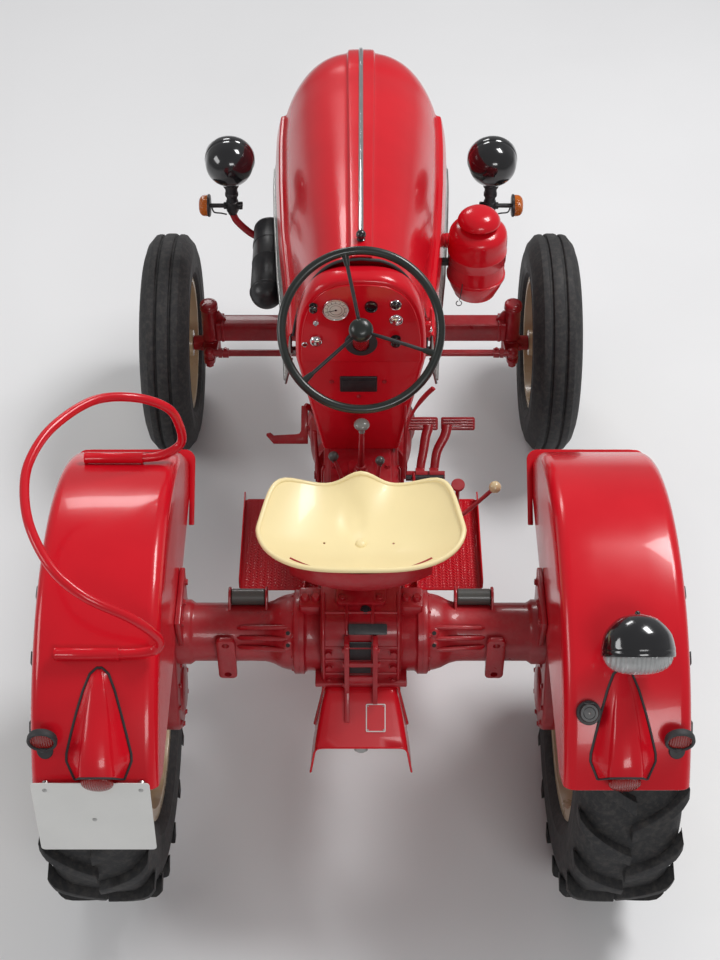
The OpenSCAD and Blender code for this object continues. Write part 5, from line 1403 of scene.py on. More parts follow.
class TRACTOR_OT_footplates(bpy.types.Operator):
    """Adds the chequered footplates with their upturned edges and braces"""
    bl_idname = "tractor.footplates"
    bl_label = "Footplates"

    def execute(self, context):
        mat = finishes(context)
        sheet = plate("sheet", rounded((0.118, -0.332), (0.334, 0.0117), 0.012), 0.42, 0.4235, "Z", 0.001, 1)
        lip = plate("lip", rounded((-0.332, 0.421), (0.0117, 0.462), 0.014), 0.331, 0.335, "X", 0.0012)
        parts = [sheet, lip]
        for lean, shift in ((45, 0.0), (-45, 0.01)):
            stud = ball("stud", (0.128 + shift, -0.322 + shift * 0.5, 0.4236), 0.0064, (1.0, 0.34, 0.2), 10)
            stud.data.transform(turned(radians(lean), "Z", (0.128 + shift, -0.322 + shift * 0.5, 0)))
            stud = modify(stud, "ARRAY", count=10, use_relative_offset=False, use_constant_offset=True,
                constant_offset_displace=(0.02, 0, 0))
            stud = modify(stud, "ARRAY", count=33, use_relative_offset=False, use_constant_offset=True,
                constant_offset_displace=(0, 0.01, 0))
            parts.append(stud)
        parts.append(plate("hanger", rounded((-0.332, 0.396), (-0.018, 0.49), 0.016), 0.1045, 0.121, "X",
            0.003))
        for y in (-0.302, -0.058):
            parts.append(round_edges(block("bar", (0.12, y, 0.4), (0.315, y + 0.024, 0.4205)), 0.002))
        parts += bolts([(0.121, y, 0.455) for y in (-0.29, -0.175, -0.06)], X, 0.009, 0.007)
        parts.append(plate("brace", mm((-332, 423), (-250, 423), (-560, 640), (-632, 652)), 0.15, 0.154, "X",
            0.001, 1))
        both(join("footplate", parts), "footplate_*_dressed", "chassis", "red_paint", mat["red"],
            "footplate_*")
        return {"FINISHED"}


class TRACTOR_OT_seat_carrier(bpy.types.Operator):
    """Adds the seat's post, its spring plate and the curved band behind it"""
    bl_idname = "tractor.seat_carrier"
    bl_label = "Seat carrier"

    def execute(self, context):
        mat = finishes(context)
        rows = []
        for z, out in mm((947, -6), (946.5, -1.5), (948.5, 0), (975, 0.3), (1003, 0), (1005, -1.5),
                (1004.6, -5)):
            rows.append([Vector(((0.3 + out) * sin(a), BAND_Y - (0.3 + out) * cos(a), z))
                for a in (radians(-34 + 68 * k / 40) for k in range(41))])
        band = thicken(skin("band", rows, inside=(0, -0.6, 0.975)), 0.003)
        pad = plate("pad", rounded((-0.06, -0.74), (0.06, -0.62), 0.01), 0.8463, 0.858, "Z", 0.0025)
        post = lathe("post", mm((0, 10), (54, 10), (54, 36), (50, 40), (38, 42), (34, 48), (34, 111.5),
            (0, 111.5)), (0, -0.65, 0.846), Z, 48)
        arm = plate("arm", rounded((-0.04, BAND_Y - 0.2975), (0.04, -0.65), 0.012), 0.947, 0.953, "Z", 0.0015)
        heads = bolts([(x, y, 0.858) for x in (-0.045, 0.045) for y in (-0.725, -0.635)], Z, 0.008, 0.007)
        heads += [bolt((0.2965 * sin(radians(a)), BAND_Y - 0.2965 * cos(radians(a)), 0.976),
            (-sin(radians(a)), cos(radians(a)), 0), 0.005, 0.004) for a in (-6, 6)]
        settle(join("seat_carrier", [band, pad, post, arm] + heads), "chassis", "chassis_paint",
            mat["chassis"], "seat_bracket", angle=40)
        return {"FINISHED"}


class TRACTOR_OT_rear_housing(bpy.types.Operator):
    """Adds the rear housing with its ribs, covers, bolts and lifting brackets"""
    bl_idname = "tractor.rear_housing"
    bl_label = "Rear housing"

    def execute(self, context):
        mat = finishes(context)
        crown = [(-0.66 + 0.07 * cos(a), 0.776 + 0.07 * sin(a)) for a in (radians(15 * k) for k in range(7))]
        tail = [(-0.772 + 0.05 * cos(a), 0.796 + 0.05 * sin(a)) for a in (radians(90 + 15 * k)
            for k in range(7))]
        outline = mm((-590, 470), (-590, 740)) + crown + tail + mm((-822, 560), (-762, 450))
        core = plate("core", outline, -0.0975, 0.0975, "X", 0.007, 3)
        barrel = lathe("barrel", mm((0, -150), (104, -150), (104, -139), (99, -136), (96, -130), (96, 130),
            (99, 136), (104, 139), (104, 150), (0, 150)), AXLE_TUBE, X, 64)
        boss = lathe("boss", mm((0, 22), (40, 22), (43, 19), (54, 19), (60, 16), (62, 10), (62, -4)),
            (0, -0.822, 0.575), -Y, 48)
        parts = [core, barrel, boss]
        rear = mm((-700, 845.5), (-772, 846)) + tail + mm((-822.2, 740), (-822.2, 640))
        for x in (-0.034, 0.028, -0.09, 0.09):
            parts.append(tube("rib", [(x, y, z) for y, z in rear], 0.0048, 10))
        for y, z in mm((-760, 845.5), (-821.6, 790), (-821.8, 742), (-821.8, 690)):
            parts.append(tube("rib", [(-0.093, y, z), (0.093, y, z)], 0.0042, 10))
        parts += bolts([(x, -0.822, z) for x in (-0.078, 0.078) for z in (0.77, 0.716, 0.664, 0.6)], -Y,
            0.009, 0.008)
        parts += bolts(ring_of(6, 0.05, (0, -0.841, 0.575), Y, 0.5), -Y, 0.0065, 0.006)
        parts.append(round_edges(block("flange", (-0.112, -0.836, 0.6515), (0.112, -0.79, 0.6665)), 0.003))
        foot = plate("ear", rounded((0.096, -0.728), (0.15, -0.664), 0.008), 0.79, 0.828, "Z", 0.004)
        knobs = [lathe("cap", mm((0, 10), (8, 10), (11, 6), (11, -2)), (x, -0.7, 0.828), Z, 24)
            for x in (0.11, 0.136)]
        ear = join("ear", [foot] + knobs)
        parts += [copy(ear, MIRROR), ear]
        settle(join("rear_case", parts), "chassis", "chassis_paint", mat["chassis"], "rear_housing", angle=40)
        cap = lathe("cap", mm((0, 6), (9, 6), (10, 4), (10, 1), (13, 0.5), (13, -2)), (0.011, -0.752, 0.8468),
            Z, 32)
        # Thin black sheet on the housing's face between the hitch rails: painted shade for the hollow there;
        # the cap and strip beside it are dark parts
        hollow_shade = round_edges(block("hollow_shade", (-0.0275, -0.8245, 0.668), (0.0275, -0.8215, 0.812)), 0.001, 1)
        a = radians(52)
        out, up = Vector((0, -cos(a), sin(a))), Vector((0, sin(a), cos(a)))
        mid = Vector((0, -0.772, 0.796)) + out * 0.0535
        strip = slab("strip", [mid + X * x + up * h for x, h in rounded((-0.03, -0.013), (0.062, 0.013),
            0.003)], out * 0.009)
        settle(join("rear_dark_parts_and_shade", [cap, hollow_shade, round_edges(strip, 0.0015)]), "chassis", "black_plastic",
            mat["satin"])
        return {"FINISHED"}


class TRACTOR_OT_axles(bpy.types.Operator):
    """Adds the rear axle tubes with their ribs, brackets, final drives and buffers"""
    bl_idname = "tractor.axles"
    bl_label = "Rear axle tubes"

    def execute(self, context):
        mat = finishes(context)
        centre = AXLE_TUBE
        profile = mm((0, 150.3), (104, 150.3), (104, 161), (102, 164), (97, 165), (94.5, 170))
        profile += smooth(mm((93.5, 178), (88, 196), (78, 216), (72.5, 236)), 3)
        profile += mm((72, 260), (72, 408), (75.5, 414), (80, 420), (80, 452), (0, 452))
        parts = [lathe("tube", profile, centre, X, 64)]

        def off(angle, r, x):
            a = radians(angle)
            return Vector((x, centre.y - r * cos(a), centre.z + r * sin(a)))

        for angle in (22, 40, 58):
            path = [off(angle, 0.0885, 0.178), off(angle, 0.0885, 0.196), off(angle, 0.083, 0.24),
                off(angle, 0.0775, 0.292), off(angle, 0.0715, 0.3)]
            parts.append(tube("rib", path, [0.005, 0.0062, 0.0062, 0.006, 0.003], 12))
        for angle in (31, 49):
            parts.append(lathe("lug", mm((0, 96), (8.5, 96), (12.5, 93), (13, 75)),
                (0.177, centre.y, centre.z), off(angle, 1, 0) - centre, 24))
        parts += bolts(ring_of(10, 0.092, (0.1635, centre.y, centre.z), X, 0.31), X, 0.007, 0.0065)
        parts += bolts(ring_of(8, 0.07, (0.4195, centre.y, centre.z), X, 0.2), -X, 0.006, 0.0055)
        ear = plate("ear", rounded((0.305, 0.633), (0.35, 0.779), 0.012), -0.795, -0.781, "Y", 0.0025)
        for z in (0.649, 0.761):
            cut(ear, rod("hole", (0.3275, -0.82, z), (0.3275, -0.76, z), 0.009))
        stem = round_edges(block("stem", (0.3055, -0.783, 0.666), (0.3495, -0.705, 0.744)), 0.003)
        drive = plate("drive", link((-0.705, 0.705), 0.0855, (-0.745, 0.525), 0.1035, 24), 0.4512, 0.5298,
            "X", 0.01, 3)
        lid = lathe("lid", mm((0, 444), (52, 444), (58, 448), (60, 452)), (0, -0.745, 0.525), X, 48)
        cleat = plate("cleat", mm((-775, 725), (-635, 725), (-615, 845), (-795, 845)), 0.4312, 0.4446, "X",
            0.003)
        parts += [ear, stem, drive, lid, cleat]
        parts += bolts(ring_of(10, 0.09, (0.452, -0.745, 0.525), X, 0.1), -X, 0.0065, 0.0055)
        parts += bolts([(0.4312, y, 0.818) for y in (-0.77, -0.705, -0.64)], -X, 0.008, 0.006)
        for x in (0.229, 0.319):
            parts.append(plate("cheek", link((-0.659, 0.785), 0.0245, (-0.685, 0.74), 0.03), x, x + 0.0062,
                "X", 0.0015))
        both(join("axle", parts), "axle_*_dressed", "chassis", "chassis_paint", mat["chassis"], "axle_*",
            angle=40)
        # Dark discs on the ends of the lugs: painted shade standing for the insides of their eyes
        holes = [lathe("eye", mm((0, 96.4), (5.2, 96.4), (5.2, 95), (0, 95)), (0.177, centre.y, centre.z),
            off(angle, 1, 0) - centre, 20) for angle in (31, 49)]
        both(join("eye_shade_discs", holes), "axle_eyes_*", "chassis", "black_plastic", mat["dark"])
        pad = lathe("pad", mm((0, 236), (17.5, 236), (20, 238.5), (20, 315.5), (17.5, 318), (0, 318)),
            (0, -0.659, 0.7847), X, 32)
        both(pad, "buffer_*", "chassis", "rubber", mat["knob_dark"], "axle_buffers", angle=40)
        return {"FINISHED"}


class TRACTOR_OT_hitch(bpy.types.Operator):
    """Adds the rails of the hitch, the guard over the drive shaft and the splined shaft end"""
    bl_idname = "tractor.hitch"
    bl_label = "Hitch and shaft guard"

    def execute(self, context):
        mat = finishes(context)
        rows = []
        for y, top, back in ((-0.8245, 0.65, 0), (-0.836, 0.65, 0), (-0.846, 0.649, 0), (-0.852, 0.646, 0.1),
                (-0.87, 0.6305, 0.3), (-0.9, 0.6045, 0.6), (-0.93, 0.5785, 0.85), (-0.9515, 0.56, 1.0)):
            wide = 0.088 + 0.024 * back
            fall = top - 0.486
            line = [(0, 0), (wide * 0.4, 0), (wide * 0.75, 0), (wide - 0.014, -0.0006),
                (wide - 0.006, -0.003), (wide - 0.001, -0.008)]
            line += [(wide + 0.028 * (0.015 + (fall - 0.015) * k / 6) / 0.164,
                -0.015 - (fall - 0.015) * k / 6) for k in range(7)]
            half = [Vector((x, y - 0.02 * back * min(1.0, -d / fall), top + d)) for x, d in line]
            rows.append([Vector((-p.x, p.y, p.z)) for p in reversed(half[1:])] + half)
        guard = round_edges(thicken(skin("guard", rows, inside=(0, -0.88, 0.45)), 0.0032), 0.001, 1, 60)
        lips = [tube("lip", rows[0], 0.0042, 8), tube("lip", [p + Y * 0.001 for p in rows[-1]], 0.0022, 8)]
        settle(join("shaft_guard", [guard] + lips), "chassis", "red_paint", mat["red"], "pto_guard", angle=40)
        drop = Vector((0, -0.756, -0.654)).normalized()
        lift = Vector((0, -0.654, 0.756)).normalized()
        spot = Vector((0.036, -0.896, 0.6085)) + lift * 0.0008
        frame_plate = slab("sign", [spot + X * a + drop * b for a, b in rounded((-0.024, -0.034),
            (0.024, 0.034), 0.003)], lift * 0.001)
        settle(frame_plate, "chassis", "plate_white", mat["plate"])
        inner = slab("sign", [spot + X * a + drop * b + lift * 0.001 for a,
            b in rounded((-0.0215, -0.0315), (0.0215, 0.0315), 0.002)], lift * 0.0006)
        settle(inner, "chassis", "red_paint", mat["red"])
        rivets = [ball("rivet", spot + X * a + drop * b + lift * 0.0014, 0.0021, sides=12)
            for a in (-0.019, 0.019) for b in (-0.029, 0.029)]
        settle(join("sign_rivets", rivets), "chassis", "bare_steel", mat["steel"])
        parts = []
        for x, run in mm((-40, 56), (28, 22)):
            k = 0.09 / 0.104
            y, low = -0.85, 0.655
            outline = [(y, 0.836), (y, low), (y - run, low - run * k),
                (y - run - 0.006, low + 0.003 - run * k), (y - run - 0.008, low + 0.008 - run * k),
                (y - 0.014, low + 0.01), (y - 0.014, 0.828), (y - 0.008, 0.836)]
            parts.append(plate("rail", outline, x, x + 0.012, "X", 0.0018))
            for z in (0.67, 0.81):
                parts.append(round_edges(block("foot", (x, y - 0.001, z), (x + 0.012, -0.8223, z + 0.026)),
                    0.0012, 1))
            parts += bolts([(x + (0.0 if x < 0 else 0.012), -0.856, z) for z in (0.69, 0.822)],
                -X if x < 0 else X, 0.006, 0.005)
        parts.append(round_edges(block("bar", (-0.039, -0.862, 0.7), (0.039, -0.855, 0.726)), 0.0015))
        pin = rod("pin", (-0.044, -0.857, 0.77), (0.046, -0.857, 0.77), 0.007)
        settle(join("hitch_rails", parts + [pin]), "chassis", "chassis_paint", mat["chassis"], "hitch_frame")
        shaft = lathe("shaft", mm((0, -940), (12, -940), (15, -937), (15, -844.2), (0, -844.2)), SHAFT, Y, 36)
        key = round_edges(block("key", (-0.0038, -0.936, 0.548), (0.0038, -0.8445, 0.5524)), 0.0006, 1)
        keys = around(key, 6, Y, SHAFT)
        settle(join("drive_shaft", [shaft] + keys), "chassis", "bare_steel", mat["steel"], "pto_shaft")
        return {"FINISHED"}


class TRACTOR_OT_front_axle(bpy.types.Operator):
    """Adds the axle beam, the knuckles with their kingpins and the tie rod with its ball ends"""
    bl_idname = "tractor.front_axle"
    bl_label = "Front axle"

    def execute(self, context):
        mat = finishes(context)
        pin_x, pin_y = KINGPIN_X, FRONT_WHEEL.y
        beam = plate("beam", rounded((pin_y - 0.026, 0.376), (pin_y + 0.026, 0.449), 0.007), -0.462, 0.462)
        boss = lathe("boss", mm((0, -33), (26, -33), (30, -30), (30, 30), (26, 33), (0, 33)),
            (0, pin_y, SWING_Z), Y, 40)
        sleeve = lathe("sleeve", mm((16, 375.2), (25.5, 375.2), (28.5, 378), (28.5, 386), (26, 389),
            (26, 492), (28.5, 495), (28.5, 501.5), (26, 504.5), (16, 504.5)), (pin_x, pin_y, 0), Z, 40)
        web = plate("web", mm((430, 447), (460, 447), (460, 482), (452, 482)), pin_y - 0.006, pin_y + 0.006,
            "Y", 0.002)
        collar = plate("collar", rounded((pin_y - 0.03, 0.3756), (pin_y + 0.03, 0.453), 0.008), 0.438, 0.448,
            "X", 0.002)
        right = join("end", [sleeve, web, collar])
        settle(join("axle_beam", [beam, boss, right, copy(right, MIRROR)]), "chassis", "chassis_paint",
            mat["chassis"], "front_axle", angle=40)
        self.knuckles(mat, pin_x, pin_y)
        self.tie_rod(mat, pin_x, pin_y - STEERING_ARM)
        return {"FINISHED"}

    def knuckles(self, mat, pin_x, pin_y):
        """Kingpin castings with their caps, stub axles and steering arms."""
        z = FRONT_WHEEL.z
        leg = lathe("leg", smooth([(0, z - 0.048), (0.022, z - 0.047), (0.0285, z - 0.04), (0.029, z - 0.02),
            (0.029, z + 0.016), (0.027, z + 0.0225)], 3) + [(0, z + 0.0228)], (pin_x, pin_y, 0), Z, 40)
        stub = lathe("stub", [(0, pin_x), (0.0285, pin_x), (0.027, pin_x + 0.022), (0.024, pin_x + 0.03),
            (0.024, 0.5395), (0.017, 0.54), (0.017, 0.6385), (0, 0.6385)], (0, pin_y, z), X, 40)
        arm = plate("arm", link((pin_x, pin_y), 0.026, (pin_x, pin_y - STEERING_ARM), 0.018), z + 0.0035,
            z + 0.0205, "Z", 0.003)
        rib = plate("rib", [(pin_y - 0.025, z - 0.012), (pin_y - 0.02, z + 0.006), (pin_y - 0.08, z + 0.006)],
            pin_x - 0.005, pin_x + 0.005, "X", 0.002)
        cap = lathe("cap", smooth(mm((0, 520.2), (16, 519.5), (24.5, 516.5), (28, 512)), 3)
            + mm((28, 506), (0, 506)), (pin_x, pin_y, 0), Z, 40)
        heads = bolts([(pin_x - 0.013, pin_y + 0.01, 0.517), (pin_x + 0.013, pin_y - 0.01, 0.517)], Z, 0.0045,
            0.005)
        heads += bolts([(0.51, pin_y - 0.0265, z + 0.006)], -Y, 0.0095, 0.01)
        both(join("knuckle", [leg, stub, arm, rib, cap] + heads), "knuckle_*_dressed", "knuckle_*",
            "chassis_paint", mat["chassis"], "knuckle_*", angle=40)

    def tie_rod(self, mat, pin_x, y):
        """Tube between the steering arms with a ball joint and a lock nut at each end."""
        z = 0.391
        parts = [tube("bar", [(-pin_x, y, z), (pin_x, y, z)], 0.0108, 24)]
        socket = lathe("socket", smooth(mm((0, 406.8), (10, 405.5), (16.2, 399), (17.2, 391), (16, 383),
            (12, 377)), 3) + mm((14, 374.5), (14, 371.6), (8.8, 371.6), (8.8, 337.2), (0, 337.2)),
            (pin_x, y, 0), Z, 32)
        nut = rod("nut", (pin_x, y, 0.3405), (pin_x, y, 0.352), 0.0135, sides=6)
        grip = rod("grip", (pin_x - 0.062, y, z), (pin_x - 0.044, y, z), 0.0155, sides=28)
        lock = rod("lock", (pin_x - 0.042, y, z), (pin_x - 0.03, y, z), 0.0165, sides=6)
        screw = bolt((pin_x - 0.053, y, z + 0.015), Z, 0.0055, 0.006)
        end = join("end", [socket, nut, grip, lock, screw])
        parts += [end, copy(end, MIRROR)]
        settle(join("tie_rod_dressed", parts), "tie_rod", "chassis_paint", mat["chassis"], "tie_rod",
            angle=40)


class TRACTOR_OT_front_support(bpy.types.Operator):
    """Adds the casting in front that carries the axle and the bonnet's hinge"""
    bl_idname = "tractor.front_support"
    bl_label = "Front support"

    def execute(self, context):
        mat = finishes(context)
        y0, low, top = FRONT_WHEEL.y, 0.471, 0.64
        outline = [(0.6905, low), (y0 + 0.11, low), (y0 + 0.13, low + 0.008), (1.11, 0.556), (1.122, 0.566),
            (1.16, 0.66), (1.17, 0.76), (1.1, 0.76), (1.01, top), (0.6905, top)]
        parts = [plate("body", outline, -0.0695, 0.0695, "X", 0.009, 3)]
        for sign in (-1, 1):
            near = y0 + sign * 0.0355
            far = near + sign * 0.0215
            parts.append(plate("ear", link((0, SWING_Z), 0.0335, (0, low + 0.028), 0.06, 20), min(near, far),
                max(near, far), "Y", 0.003))
            parts.append(plate("rim", rounded((y0 + 0.16, 0.575), (1.08, 0.628), 0.012), sign * 0.068 - 0.004,
                sign * 0.068 + 0.004, "X", 0.002))
            parts += bolts([(sign * 0.0695, y, 0.61) for y in (0.715, 0.765, 0.815, 0.865)], X * sign, 0.009,
                0.008)
        parts.append(plate("nose", link(HINGE, 0.0175, (1.14, 0.762), 0.025), -0.069, 0.069, "X", 0.003))
        pin = rod("pin", (0, y0 - 0.064, SWING_Z), (0, y0 + 0.064, SWING_Z), 0.0158)
        nuts = [bolt((0, y0 + sign * 0.058, SWING_Z), Y * sign, 0.02, 0.014) for sign in (-1, 1)]
        settle(join("front_casting", parts + [pin] + nuts), "chassis", "chassis_paint", mat["chassis"],
            "front_support", angle=40)
        return {"FINISHED"}


class TRACTOR_OT_engine(bpy.types.Operator):
    """Adds the engine: crankcase, finned cylinder, head, fan housing, pulley and pipes"""
    bl_idname = "tractor.engine"
    bl_label = "Engine"

    def execute(self, context):
        mat = finishes(context)
        back, front, mid = 0.2, 0.69, 0.45
        parts = [plate("case", rounded((-0.112, 0.425), (0.112, 0.69), 0.026), back, front - 0.0004, "Y",
            0.005, 3), plate("sump", rounded((-0.097, 0.37), (0.097, 0.47), 0.022), back, 0.63, "Y", 0.005,
            3), lathe("rim", mm((0, 200), (158, 200), (158, 213), (154, 216), (0, 216)), CRANK, Y, 64),
            rod("barrel", (0, mid, 0.689), (0, mid, 0.993), 0.084, sides=48)]
        fin = plate("fin", rounded((-0.118, mid - 0.118), (0.118, mid + 0.118), 0.04), 0.708, 0.713, "Z",
            0.0016, 2)
        parts += [copy(fin, Matrix.Translation((0, 0, 0.019 * k))) for k in range(1, 15)] + [fin]
        parts.append(plate("head", rounded((-0.1, mid - 0.105), (0.1, mid + 0.105), 0.024), 0.9925, 1.055,
            "Z", 0.004))
        parts += [plate("head_fin", rounded((-0.106, mid - 0.11), (0.106, mid + 0.11), 0.028), z, z + 0.004,
            "Z", 0.0014, 1) for z in (1.004, 1.018, 1.032, 1.046)]
        parts += bolts([(x, y, 1.055) for x in (-0.084, 0.084) for y in (mid - 0.085, mid, mid + 0.085)], Z,
            0.009, 0.009)
        for side in (-1, 1):
            parts += bolts([(side * 0.112, y, z) for y in (0.25, 0.36, 0.47, 0.58, 0.66)
                for z in (0.455, 0.665)], X * side, 0.008, 0.007)
        parts.append(plate("side_lid", rounded((0.29, 0.5), (0.44, 0.62), 0.03), 0.1115, 0.118, "X", 0.003))
        parts += bolts([(0.118, y, z) for y in (0.305, 0.425) for z in (0.515, 0.605)], X, 0.006, 0.005)
        parts.append(round_edges(block("neck", (-0.05, 0.6, 0.688), (0.05, 0.67, 0.76)), 0.005))
        settle(join("engine_block", parts), "chassis", "cast_engine", mat["engine"], "engine", angle=40)
        lid = plate("rocker_lid", rounded((-0.062, mid - 0.084), (0.062, mid + 0.084), 0.02), 1.0545, 1.0885,
            "Z", 0.008, 3)
        fan = lathe("fan_case", mm((0, 556), (92, 556), (96, 560), (96, 577), (121, 578), (128, 585),
            (128, 694), (124, 700), (105, 700), (98, 690), (0, 690)), FAN, Y, 64)
        plates = [lid, fan]
        plates += bolts([(0, mid - 0.05, 1.0885), (0, mid + 0.05, 1.0885)], Z, 0.009, 0.009)
        plates.append(plate("shroud", rounded((0.33, 0.73), (0.56, 0.985), 0.02), -0.124, -0.1195, "X",
            0.002))
        settle(join("engine_covers", plates), "chassis", "black_paint", mat["satin"], "engine", angle=40)
        blades = around(rod("blade", (0, 0.696, 0.905), (0, 0.696, 0.966), 0.003, sides=8), 20, Y, FAN)
        hub = lathe("pulley", mm((0, 729), (18, 729), (20, 722), (48, 720), (60, 726), (60, 722), (52, 713),
            (60, 704), (60, 699), (0, 699)), FAN, Y, 48)
        crank = lathe("crank", mm((0, 728), (20, 728), (22, 720), (62, 718), (70, 724), (70, 720), (61, 711),
            (70, 702), (70, 690), (0, 690)), (0, 0, 0.56), Y, 48)
        filter_can = lathe("filter", smooth(mm((0, 585), (22, 587), (32, 594), (34, 604)), 3)
            + mm((34, 676), (37, 680), (37, 692), (30, 698), (0, 698)), (0.15, 0.56, 0), Z, 32)
        foot = round_edges(block("foot", (0.108, 0.535, 0.672), (0.15, 0.585, 0.694)), 0.003)
        pipes = [tube("pipe", curve(path, 6), 0.0045, 10) for path in (mm((150, 560, 696), (150, 545, 730),
            (138, 520, 800), (130, 480, 980), (90, 450, 1040)), mm((150, 575, 690), (160, 600, 720),
            (130, 640, 740), (60, 650, 745)))]
        settle(join("engine_bright", blades + [hub, crank, filter_can, foot] + pipes), "chassis",
            "bare_steel", mat["steel"], angle=40)
        return {"FINISHED"}


class TRACTOR_OT_gearbox(bpy.types.Operator):
    """Adds the gearbox with its clutch bell, ribs, top cover and bolts"""
    bl_idname = "tractor.gearbox"
    bl_label = "Gearbox"

    def execute(self, context):
        mat = finishes(context)
        bell = lathe("bell", mm((0, 199.6), (158, 199.6), (158, 189), (153, 185), (150, 178))
            + smooth(mm((149, 165), (146, 120), (141, 85), (134, 62)), 3)
            + mm((132, 50), (132, 24), (128, 20), (0, 20)), CRANK, Y, 72)
        parts = [bell, plate("box", rounded((-0.104, 0.43), (0.104, 0.662), 0.024), -0.5896, 0.04, "Y", 0.004,
            2), plate("lid", rounded((-0.084, -0.42), (0.084, 0.02), 0.02), 0.661, 0.6715, "Z", 0.0025),
            plate("joint", rounded((-0.128, 0.412), (0.128, 0.68), 0.026), -0.5896, -0.5725, "Y", 0.003),
            round_edges(block("pedestal", (-0.05, 0.04, 0.64), (0.05, 0.14, 0.6996)), 0.006)]
        parts += bolts(ring_of(12, 0.15, CRANK + Y * 0.185, Y, 0.26), -Y, 0.0075, 0.007)
        parts += bolts([(x, y, 0.6715) for x in (-0.073, 0.073) for y in (-0.405, -0.3, -0.2, -0.1, 0.005)],
            Z, 0.007, 0.006)
        parts += bolts([(x, -0.5725, z) for x in (-0.116, 0.116) for z in (0.44, 0.5, 0.56, 0.62)]
            + [(x, -0.5725, 0.671) for x in (-0.08, 0, 0.08)], Y, 0.0075, 0.007)
        for side in (-1, 1):
            for y in (-0.5, -0.36, -0.22, -0.08):
                parts.append(tube("rib", [(side * 0.102, y, 0.45), (side * 0.1045, y, 0.47),
                    (side * 0.1045, y, 0.64), (side * 0.1, y, 0.652)], 0.0055, 10))
            parts.append(tube("rib", [(side * 0.1035, -0.575, 0.56), (side * 0.1035, 0.03, 0.56)], 0.0055,
                10))
        plug = lathe("plug", mm((0, 12), (10, 12), (12, 10), (12, 4), (16, 3), (16, 0)),
            (-0.045, -0.33, 0.6715), Z, 6)
        gate = plate("gate", rounded((-0.034, -0.15), (0.034, -0.078), 0.012), 0.6715, 0.6765, "Z", 0.002)
        settle(join("gearbox_case", parts + [plug, gate]), "chassis", "chassis_paint", mat["chassis"],
            "gearbox", angle=40)
        return {"FINISHED"}


class TRACTOR_OT_bands(bpy.types.Operator):
    """Adds the pierced side bands below the bonnet and the bonnet's latch"""
    bl_idname = "tractor.bands"
    bl_label = "Side bands"

    def execute(self, context):
        s, mat = context.scene.tractor_sizes, finishes(context)
        rows, foot, head = [], [], []
        for k in range(25):
            y = 0.037 + (0.998 - 0.037) * k / 24
            w = hood_form(s, y)[1] * 0.955
            line = [(w + 0.005, 0.963), (w + 0.008, 0.945), (w + 0.0165, 0.915), (w + 0.0225, 0.885),
                (w + 0.025, 0.867)]
            rows.append([Vector((x, y, z)) for x, z in line])
            foot.append(Vector((w + 0.024, y, 0.8685)))
            head.append(Vector((w + 0.0045, y, 0.96)))
        band = thicken(skin("band", rows, inside=(0, 0.5, 0.9)), 0.0026)
        both(band, "side_band_*", "chassis", "pale_grille", mat["band"], "side_grilles", angle=50)
        trims = [tube("edge", foot, 0.0042, 10), tube("edge", head, 0.0036, 10)]
        trims += [tube("bar", [a * 0.985 + X * 0.002, b * 0.985 + X * 0.002], 0.0036, 8) for a,
            b in ((foot[0], head[0]), (foot[-1], head[-1]))]
        stays = [round_edges(block("stay", (0.1235, 0.636, 0.905), (0.236, 0.654, 0.925)), 0.002),
            round_edges(block("stay", (0.15, 0.092, 0.905), (0.192, 0.11, 0.925)), 0.002)]
        both(join("edges", trims + stays), "side_edges_*", "chassis", "pale_grille", mat["steel"],
            "side_grilles")
        arm = plate("arm", rounded((-0.006, 1.052), (0.026, 1.104), 0.01), 0.166, 0.182, "X", 0.003)
        hook = plate("hook", link((0.012, 1.092), 0.01, (0.02, 1.13), 0.006), 0.178, 0.185, "X", 0.002)
        settle(join("latch", [arm, hook]), "chassis", "red_paint", mat["red"])
        strap = round_edges(block("strap", (0.17, -0.002, 1.005), (0.176, 0.014, 1.052)), 0.0018)
        settle(strap, "chassis", "rubber", mat["rubber"])
        pins = [ball("pin", (0.18, 0.0, 1.078), 0.0068, sides=20), lathe("hole",
            mm((3.6, 3.5), (5.6, 3), (6, 0)), (0.1815, 0.016, 1.074), X, 20)]
        settle(join("latch_pins", pins), "chassis", "chrome", mat["chrome"])
        return {"FINISHED"}


class TRACTOR_OT_column(bpy.types.Operator):
    """Adds the steering column with its bearing collar and the gear case at its foot"""
    bl_idname = "tractor.column"
    bl_label = "Steering column"

    def execute(self, context):
        mat = finishes(context)
        post = lathe("post", mm((11.5, 26.5), (19, 26.5), (23.5, 29), (23.5, 43), (21, 46), (20.5, 470),
            (0, 470), (0, 140), (11.5, 140)), COLUMN_TOP, COLUMN, 40)
        case = round_edges(block("case", (-0.04, 0.04, 0.7), (0.04, 0.13, 0.93)), 0.008, 3)
        ring = lathe("ring", mm((22, -1), (40, -1), (43, 2), (40, 6), (26, 10), (22, 10)),
            (0, -0.0368, 1.0665), (0, -1, 0), 40, ring=True)
        heads = bolts([(x, 0.085, 0.93) for x in (-0.026, 0.026)], Z, 0.007, 0.006)
        settle(join("column_post", [post, case] + heads), "chassis", "red_paint", mat["red"],
            "steering_column", angle=40)
        settle(ring, "chassis", "rubber", mat["rubber"])
        return {"FINISHED"}


